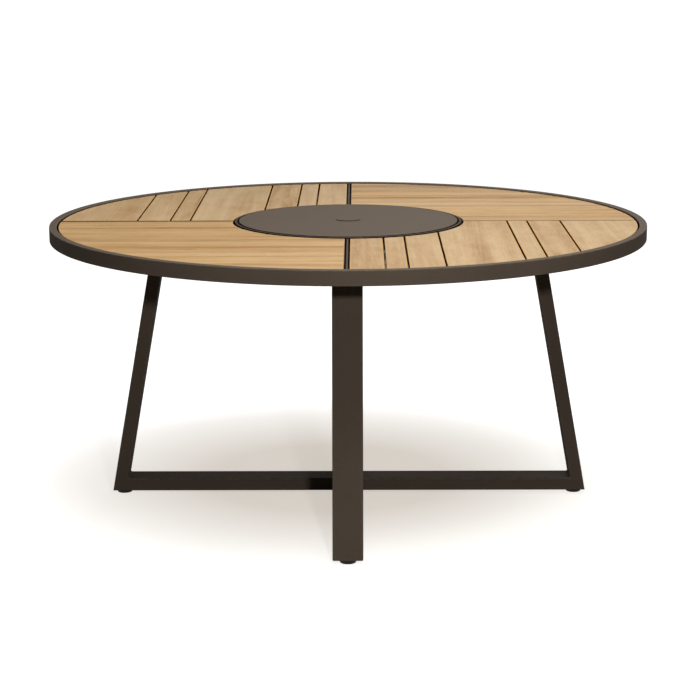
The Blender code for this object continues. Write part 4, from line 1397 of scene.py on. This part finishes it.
class PATIO_OT_build_underframe(Operator):
    """Builds the beams with their divider strips, the battens, the plates and their fasteners"""

    bl_idname = "patio_table.build_underframe"
    bl_label = "Build Underframe"

    def execute(self, context):
        edges = context.scene.patio_edges
        self.build_beams(edges)
        self.build_battens(edges)
        self.build_plates(edges)
        self.build_screws()
        return {"FINISHED"}

    def build_beams(self, edges):
        half = BEAM_WIDTH / 2
        strip = DIVIDER_WIDTH / 2
        shelf = BEAM_BOTTOM + BEAM_HEIGHT
        corners = [
            (-half, BEAM_BOTTOM, edges.sheet * 2),
            (half, BEAM_BOTTOM, edges.sheet * 2),
            (half, shelf, edges.sheet * 2),
            (strip, shelf, 0.0),
            (strip, DIVIDER_TOP, edges.sheet),
            (-strip, DIVIDER_TOP, edges.sheet),
            (-strip, shelf, 0.0),
            (-half, shelf, edges.sheet * 2),
        ]
        section = filleted(corners, edges.corner_steps, edges.worn_band)

        def inner_end(across, height):
            return Vector((BEAM_INNER_END, across, height))

        def outer_end(across, height):
            return Vector((BEAM_OUTER_END, across, height))

        for turn, side in enumerate(SIDES):
            bm = tube_between(section, inner_end, outer_end, turn)
            add_piece(f"beam_and_divider_{side}", bm, "powder_coating", "table", [f"beam_{side}"])

    def build_battens(self, edges):
        low, high = BATTEN_LOW, BATTEN_HIGH
        outline = plate_outline(low, high, BATTEN_CORNER, edges)
        for turn, quarter in enumerate(QUARTERS):
            bm, wear = new_bmesh()
            eased_slab(bm, wear, outline, low.z, high.z, edges.sheet, edges.worn_band / 2, turn_to(turn))
            finish = "raw_aluminium_across" if turn % 2 else "raw_aluminium"
            name = f"batten_{quarter}"
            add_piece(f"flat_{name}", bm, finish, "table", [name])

    def build_plates(self, edges):
        low, high = LEG_PLATE_LOW, LEG_PLATE_HIGH
        middle = (low.x + high.x) / 2
        reaches = (middle - LEG_BOLT_REACH, middle + LEG_BOLT_REACH)
        bolts = [(reach, across) for reach in reaches for across in (-LEG_BOLT_SIDE, LEG_BOLT_SIDE)]
        for turn, side in enumerate(SIDES):
            bm = self.bolted_plate(edges, low, high, LEG_PLATE_THICKNESS, bolts)
            bmesh.ops.transform(bm, matrix=turn_to(turn), verts=bm.verts)
            add_piece(f"plate_and_bolts_{side}", bm, "powder_coating", "table", [f"leg_plate_{side}"])

        bolts = [(-CENTRE_BOLT_SIDE, 0.0), (CENTRE_BOLT_SIDE, 0.0)]
        for out in (CENTRE_BOLT_INNER, CENTRE_BOLT_OUTER):
            bolts += [(0.0, -out), (0.0, out)]
        bm = self.bolted_plate(edges, CENTRE_PLATE_LOW, CENTRE_PLATE_HIGH, CENTRE_PLATE_THICKNESS, bolts)
        add_piece("crossing_plate", bm, "powder_coating", "table", ["centre_plate"])

    def bolted_plate(self, edges, low, high, thickness, bolts):
        """A bmesh of a plate with bolt heads under it, in a box from low to high."""
        bm, wear = new_bmesh()
        bottom = high.z - thickness
        outline = plate_outline(low, high, PLATE_CORNER, edges)
        eased_slab(bm, wear, outline, bottom, high.z, edges.sheet, edges.worn_band / 2, Matrix.Identity(4))
        for bolt in bolts:
            add_bolt_head(bm, wear, Vector(bolt), bottom, bottom - low.z)
        return bm

    def build_screws(self):
        """Screws up through battens and ledges into the slats, and through the flange into the pan."""
        batten_middle = (BATTEN_LOW.y + BATTEN_HIGH.y) / 2
        ledge_bottom = LEDGE_TOP - LEDGE_THICKNESS
        ledge_middle = RIM_INNER - LEDGE_REACH / 2
        collar_middle = COLLAR_OUTER + COLLAR_LEDGE_REACH / 2
        least_across = BEAM_WIDTH / 2 + SCREW_CLEARANCE + BOLT_HEAD_WIDTH / 2
        for turn, quarter in enumerate(QUARTERS):
            bm, wear = new_bmesh()
            for number in range(1, SLATS + 1):
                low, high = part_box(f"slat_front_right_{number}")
                across = max((low.x + min(high.x, BATTEN_HIGH.x)) / 2, least_across)
                add_screw_head(bm, wear, Vector((across, batten_middle)), BATTEN_LOW.z, BATTEN_SCREW)
                outer = Vector((across, -math.sqrt(ledge_middle**2 - across**2)))
                add_screw_head(bm, wear, outer, ledge_bottom, LEDGE_SCREW)
                if across < collar_middle - BOLT_HEAD_WIDTH:
                    inner = Vector((across, -math.sqrt(collar_middle**2 - across**2)))
                    add_screw_head(bm, wear, inner, ledge_bottom, LEDGE_SCREW)
            bmesh.ops.transform(bm, matrix=turn_to(turn), verts=bm.verts)
            add_piece(f"slat_screws_{quarter}", bm, "bearing_steel", "table")

        flange_bottom = PAN_TOP - PAN_THICKNESS - SEAT - LEDGE_THICKNESS
        flange_middle = COLLAR_INNER - COLLAR_FLANGE_REACH / 2
        bm, wear = new_bmesh()
        for index in range(PAN_SCREWS):
            angle = 2 * math.pi * (index + 0.5) / PAN_SCREWS
            centre = Vector((flange_middle * math.cos(angle), flange_middle * math.sin(angle)))
            add_screw_head(bm, wear, centre, flange_bottom, BATTEN_SCREW)
        add_piece("pan_screws", bm, "bearing_steel", "table")


class PATIO_OT_finish_bearing(Operator):
    """Gives the bearing's rings and ball cage their plated steel"""

    bl_idname = "patio_table.finish_bearing"
    bl_label = "Finish Bearing"

    def execute(self, context):
        for name in ("bearing_upper_ring", "bearing_ball_cage", "bearing_lower_ring"):
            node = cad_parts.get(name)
            if node is None:
                raise RuntimeError(f"The frame has no node named {name}")
            node.data.materials.clear()
            node.data.materials.append(finish_material("bearing_steel"))
        return {"FINISHED"}


def seen_rays(tree, glossy):
    """1 for rays that see the background, as the camera's do, and a given share for glossy ones."""
    path = add_node(tree, "LightPath").outputs
    mirrored = calculate(tree, "MULTIPLY", path["Is Glossy Ray"], glossy)
    seen = calculate(tree, "MAXIMUM", path["Is Camera Ray"], mirrored)
    return calculate(tree, "MAXIMUM", seen, path["Is Transmission Ray"])


def add_lamp(name, place, size, colour, power):
    """A square soft lamp that faces the table. The camera doesn't see it."""
    data = bpy.data.lights.new(name, "AREA")
    data.shape = "SQUARE"
    data.size = size
    data.color = colour
    data.energy = power
    lamp = bpy.data.objects.new(name, data)
    bpy.context.scene.collection.objects.link(lamp)
    lamp.location = place
    heading = Vector(LAMP_TARGET) - Vector(place)
    lamp.rotation_euler = heading.to_track_quat("-Z", "Y").to_euler()
    lamp.visible_camera = False


class PATIO_OT_build_stage(Operator):
    """Builds the pale floor, the lamps, the background and the camera"""

    bl_idname = "patio_table.build_stage"
    bl_label = "Build Stage"

    def execute(self, context):
        studio = context.scene.patio_studio
        self.build_floor(studio)
        self.build_background(context, studio)
        self.build_lamps(studio)
        self.build_camera(context, studio)
        context.scene.view_settings.view_transform = "Standard"
        return {"FINISHED"}

    def build_floor(self, studio):
        bm = bmesh.new()
        bmesh.ops.create_grid(bm, x_segments=1, y_segments=1, size=FLOOR_SIZE)
        floor = place_mesh("floor", bm)
        floor.data.materials.append(self.floor_material(studio))

    def floor_material(self, studio):
        """Pale matt floor that the camera sees as white, except in a painted shadow: a warm patch under the
        table.
        """
        material = bpy.data.materials.new("studio_floor")
        material.use_nodes = True
        tree = material.node_tree
        tree.nodes.clear()
        seen = seen_rays(tree, FLOOR_GLOSS)
        colour = blend_colours(tree, seen, studio.floor_bounce, studio.floor)
        matt = add_node(tree, "BsdfDiffuse", {"Color": colour}).outputs[0]
        apart = {0: object_place(tree), 1: PAINTED_SHADOW_CENTRE}
        radius = add_node(tree, "VectorMath", apart, operation="DISTANCE").outputs["Value"]
        # Painted shadow: the floor's glow is lower, and warmer, in a patch under the table
        whiteness = remap(tree, radius, *PAINTED_SHADOW_REACH, studio.floor_glow, 1.0)
        strength = calculate(tree, "MULTIPLY", seen, whiteness)
        tint = blend_colours(tree, remap(tree, radius, *PAINTED_SHADOW_REACH, 1.0, 0.0), WHITE, PAINTED_SHADOW_TINT)
        glow = add_node(tree, "Emission", {"Color": tint, "Strength": strength}).outputs[0]
        mixed = add_node(tree, "AddShader", {0: matt, 1: glow}).outputs[0]
        tree.links.new(mixed, add_node(tree, "OutputMaterial").inputs["Surface"])
        return material

    def build_background(self, context, studio):
        """White behind the table, and a little even light from all round."""
        world = bpy.data.worlds.new("studio")
        context.scene.world = world
        world.use_nodes = True
        tree = world.node_tree
        tree.nodes.clear()
        direction = add_node(tree, "TexCoord").outputs["Generated"]
        height = add_node(tree, "SeparateXYZ", {0: direction}).outputs["Z"]
        seen = seen_rays(tree, remap(tree, height, *HORIZON, *HORIZON_GLOSS))
        strength = remap(tree, seen, 0.0, 1.0, studio.ambient, 1.0)
        white = add_node(tree, "Background", {"Color": WHITE, "Strength": strength}).outputs[0]
        tree.links.new(white, add_node(tree, "OutputWorld").inputs["Surface"])

    def build_lamps(self, studio):
        for name, (place, size, colour) in LAMPS.items():
            add_lamp(name, place, size, colour, getattr(studio, name))

    def build_camera(self, context, studio):
        data = bpy.data.cameras.new("camera")
        data.sensor_fit = "HORIZONTAL"
        data.sensor_width = SENSOR_WIDTH
        data.lens = studio.focal_pixels / PICTURE_WIDTH * SENSOR_WIDTH
        camera = bpy.data.objects.new("camera", data)
        context.scene.collection.objects.link(camera)
        turned = Matrix.Rotation(-studio.yaw, 4, "Z")
        tilted = Matrix.Rotation(math.pi / 2 - studio.pitch, 4, "X")
        rolled = Matrix.Rotation(studio.roll, 4, "Z")
        camera.matrix_world = Matrix.Translation(studio.camera_place) @ turned @ tilted @ rolled
        context.scene.camera = camera


SETTINGS = {
    "patio_edges": PATIO_PG_edges,
    "patio_wood": PATIO_PG_wood,
    "patio_metal": PATIO_PG_metal,
    "patio_studio": PATIO_PG_studio,
}
BUILDERS = (
    PATIO_OT_build_stage,
    PATIO_OT_build_rim,
    PATIO_OT_build_slats,
    PATIO_OT_build_turntable,
    PATIO_OT_build_cap,
    PATIO_OT_build_base,
    PATIO_OT_build_glides,
    PATIO_OT_build_underframe,
    PATIO_OT_finish_bearing,
)


class PATIO_PT_sidebar(Panel):
    """Lists the table's operators and settings"""

    bl_label = "Outdoor Dining Table"
    bl_idname = "PATIO_PT_sidebar"
    bl_space_type = "VIEW_3D"
    bl_region_type = "UI"
    bl_category = "Patio Table"

    def draw(self, context):
        layout = self.layout
        for builder in BUILDERS:
            layout.operator(builder.bl_idname)
        for name, group in SETTINGS.items():
            box = layout.box()
            box.label(text=group.__doc__)
            for setting in group.__annotations__:
                box.prop(getattr(context.scene, name), setting)


CLASSES = (*SETTINGS.values(), *BUILDERS, PATIO_PT_sidebar)


def register():
    for cls in CLASSES:
        bpy.utils.register_class(cls)
    for name, group in SETTINGS.items():
        setattr(bpy.types.Scene, name, PointerProperty(type=group))


def unregister():
    for name in SETTINGS:
        delattr(bpy.types.Scene, name)
    for cls in reversed(CLASSES):
        bpy.utils.unregister_class(cls)


def main():
    register()
    bpy.ops.patio_table.build_stage()
    bpy.ops.patio_table.build_rim()
    bpy.ops.patio_table.build_slats()
    bpy.ops.patio_table.build_turntable()
    bpy.ops.patio_table.build_cap()
    bpy.ops.patio_table.build_base()
    bpy.ops.patio_table.build_glides()
    bpy.ops.patio_table.build_underframe()
    bpy.ops.patio_table.finish_bearing()


if __name__ == "__main__":
    main()
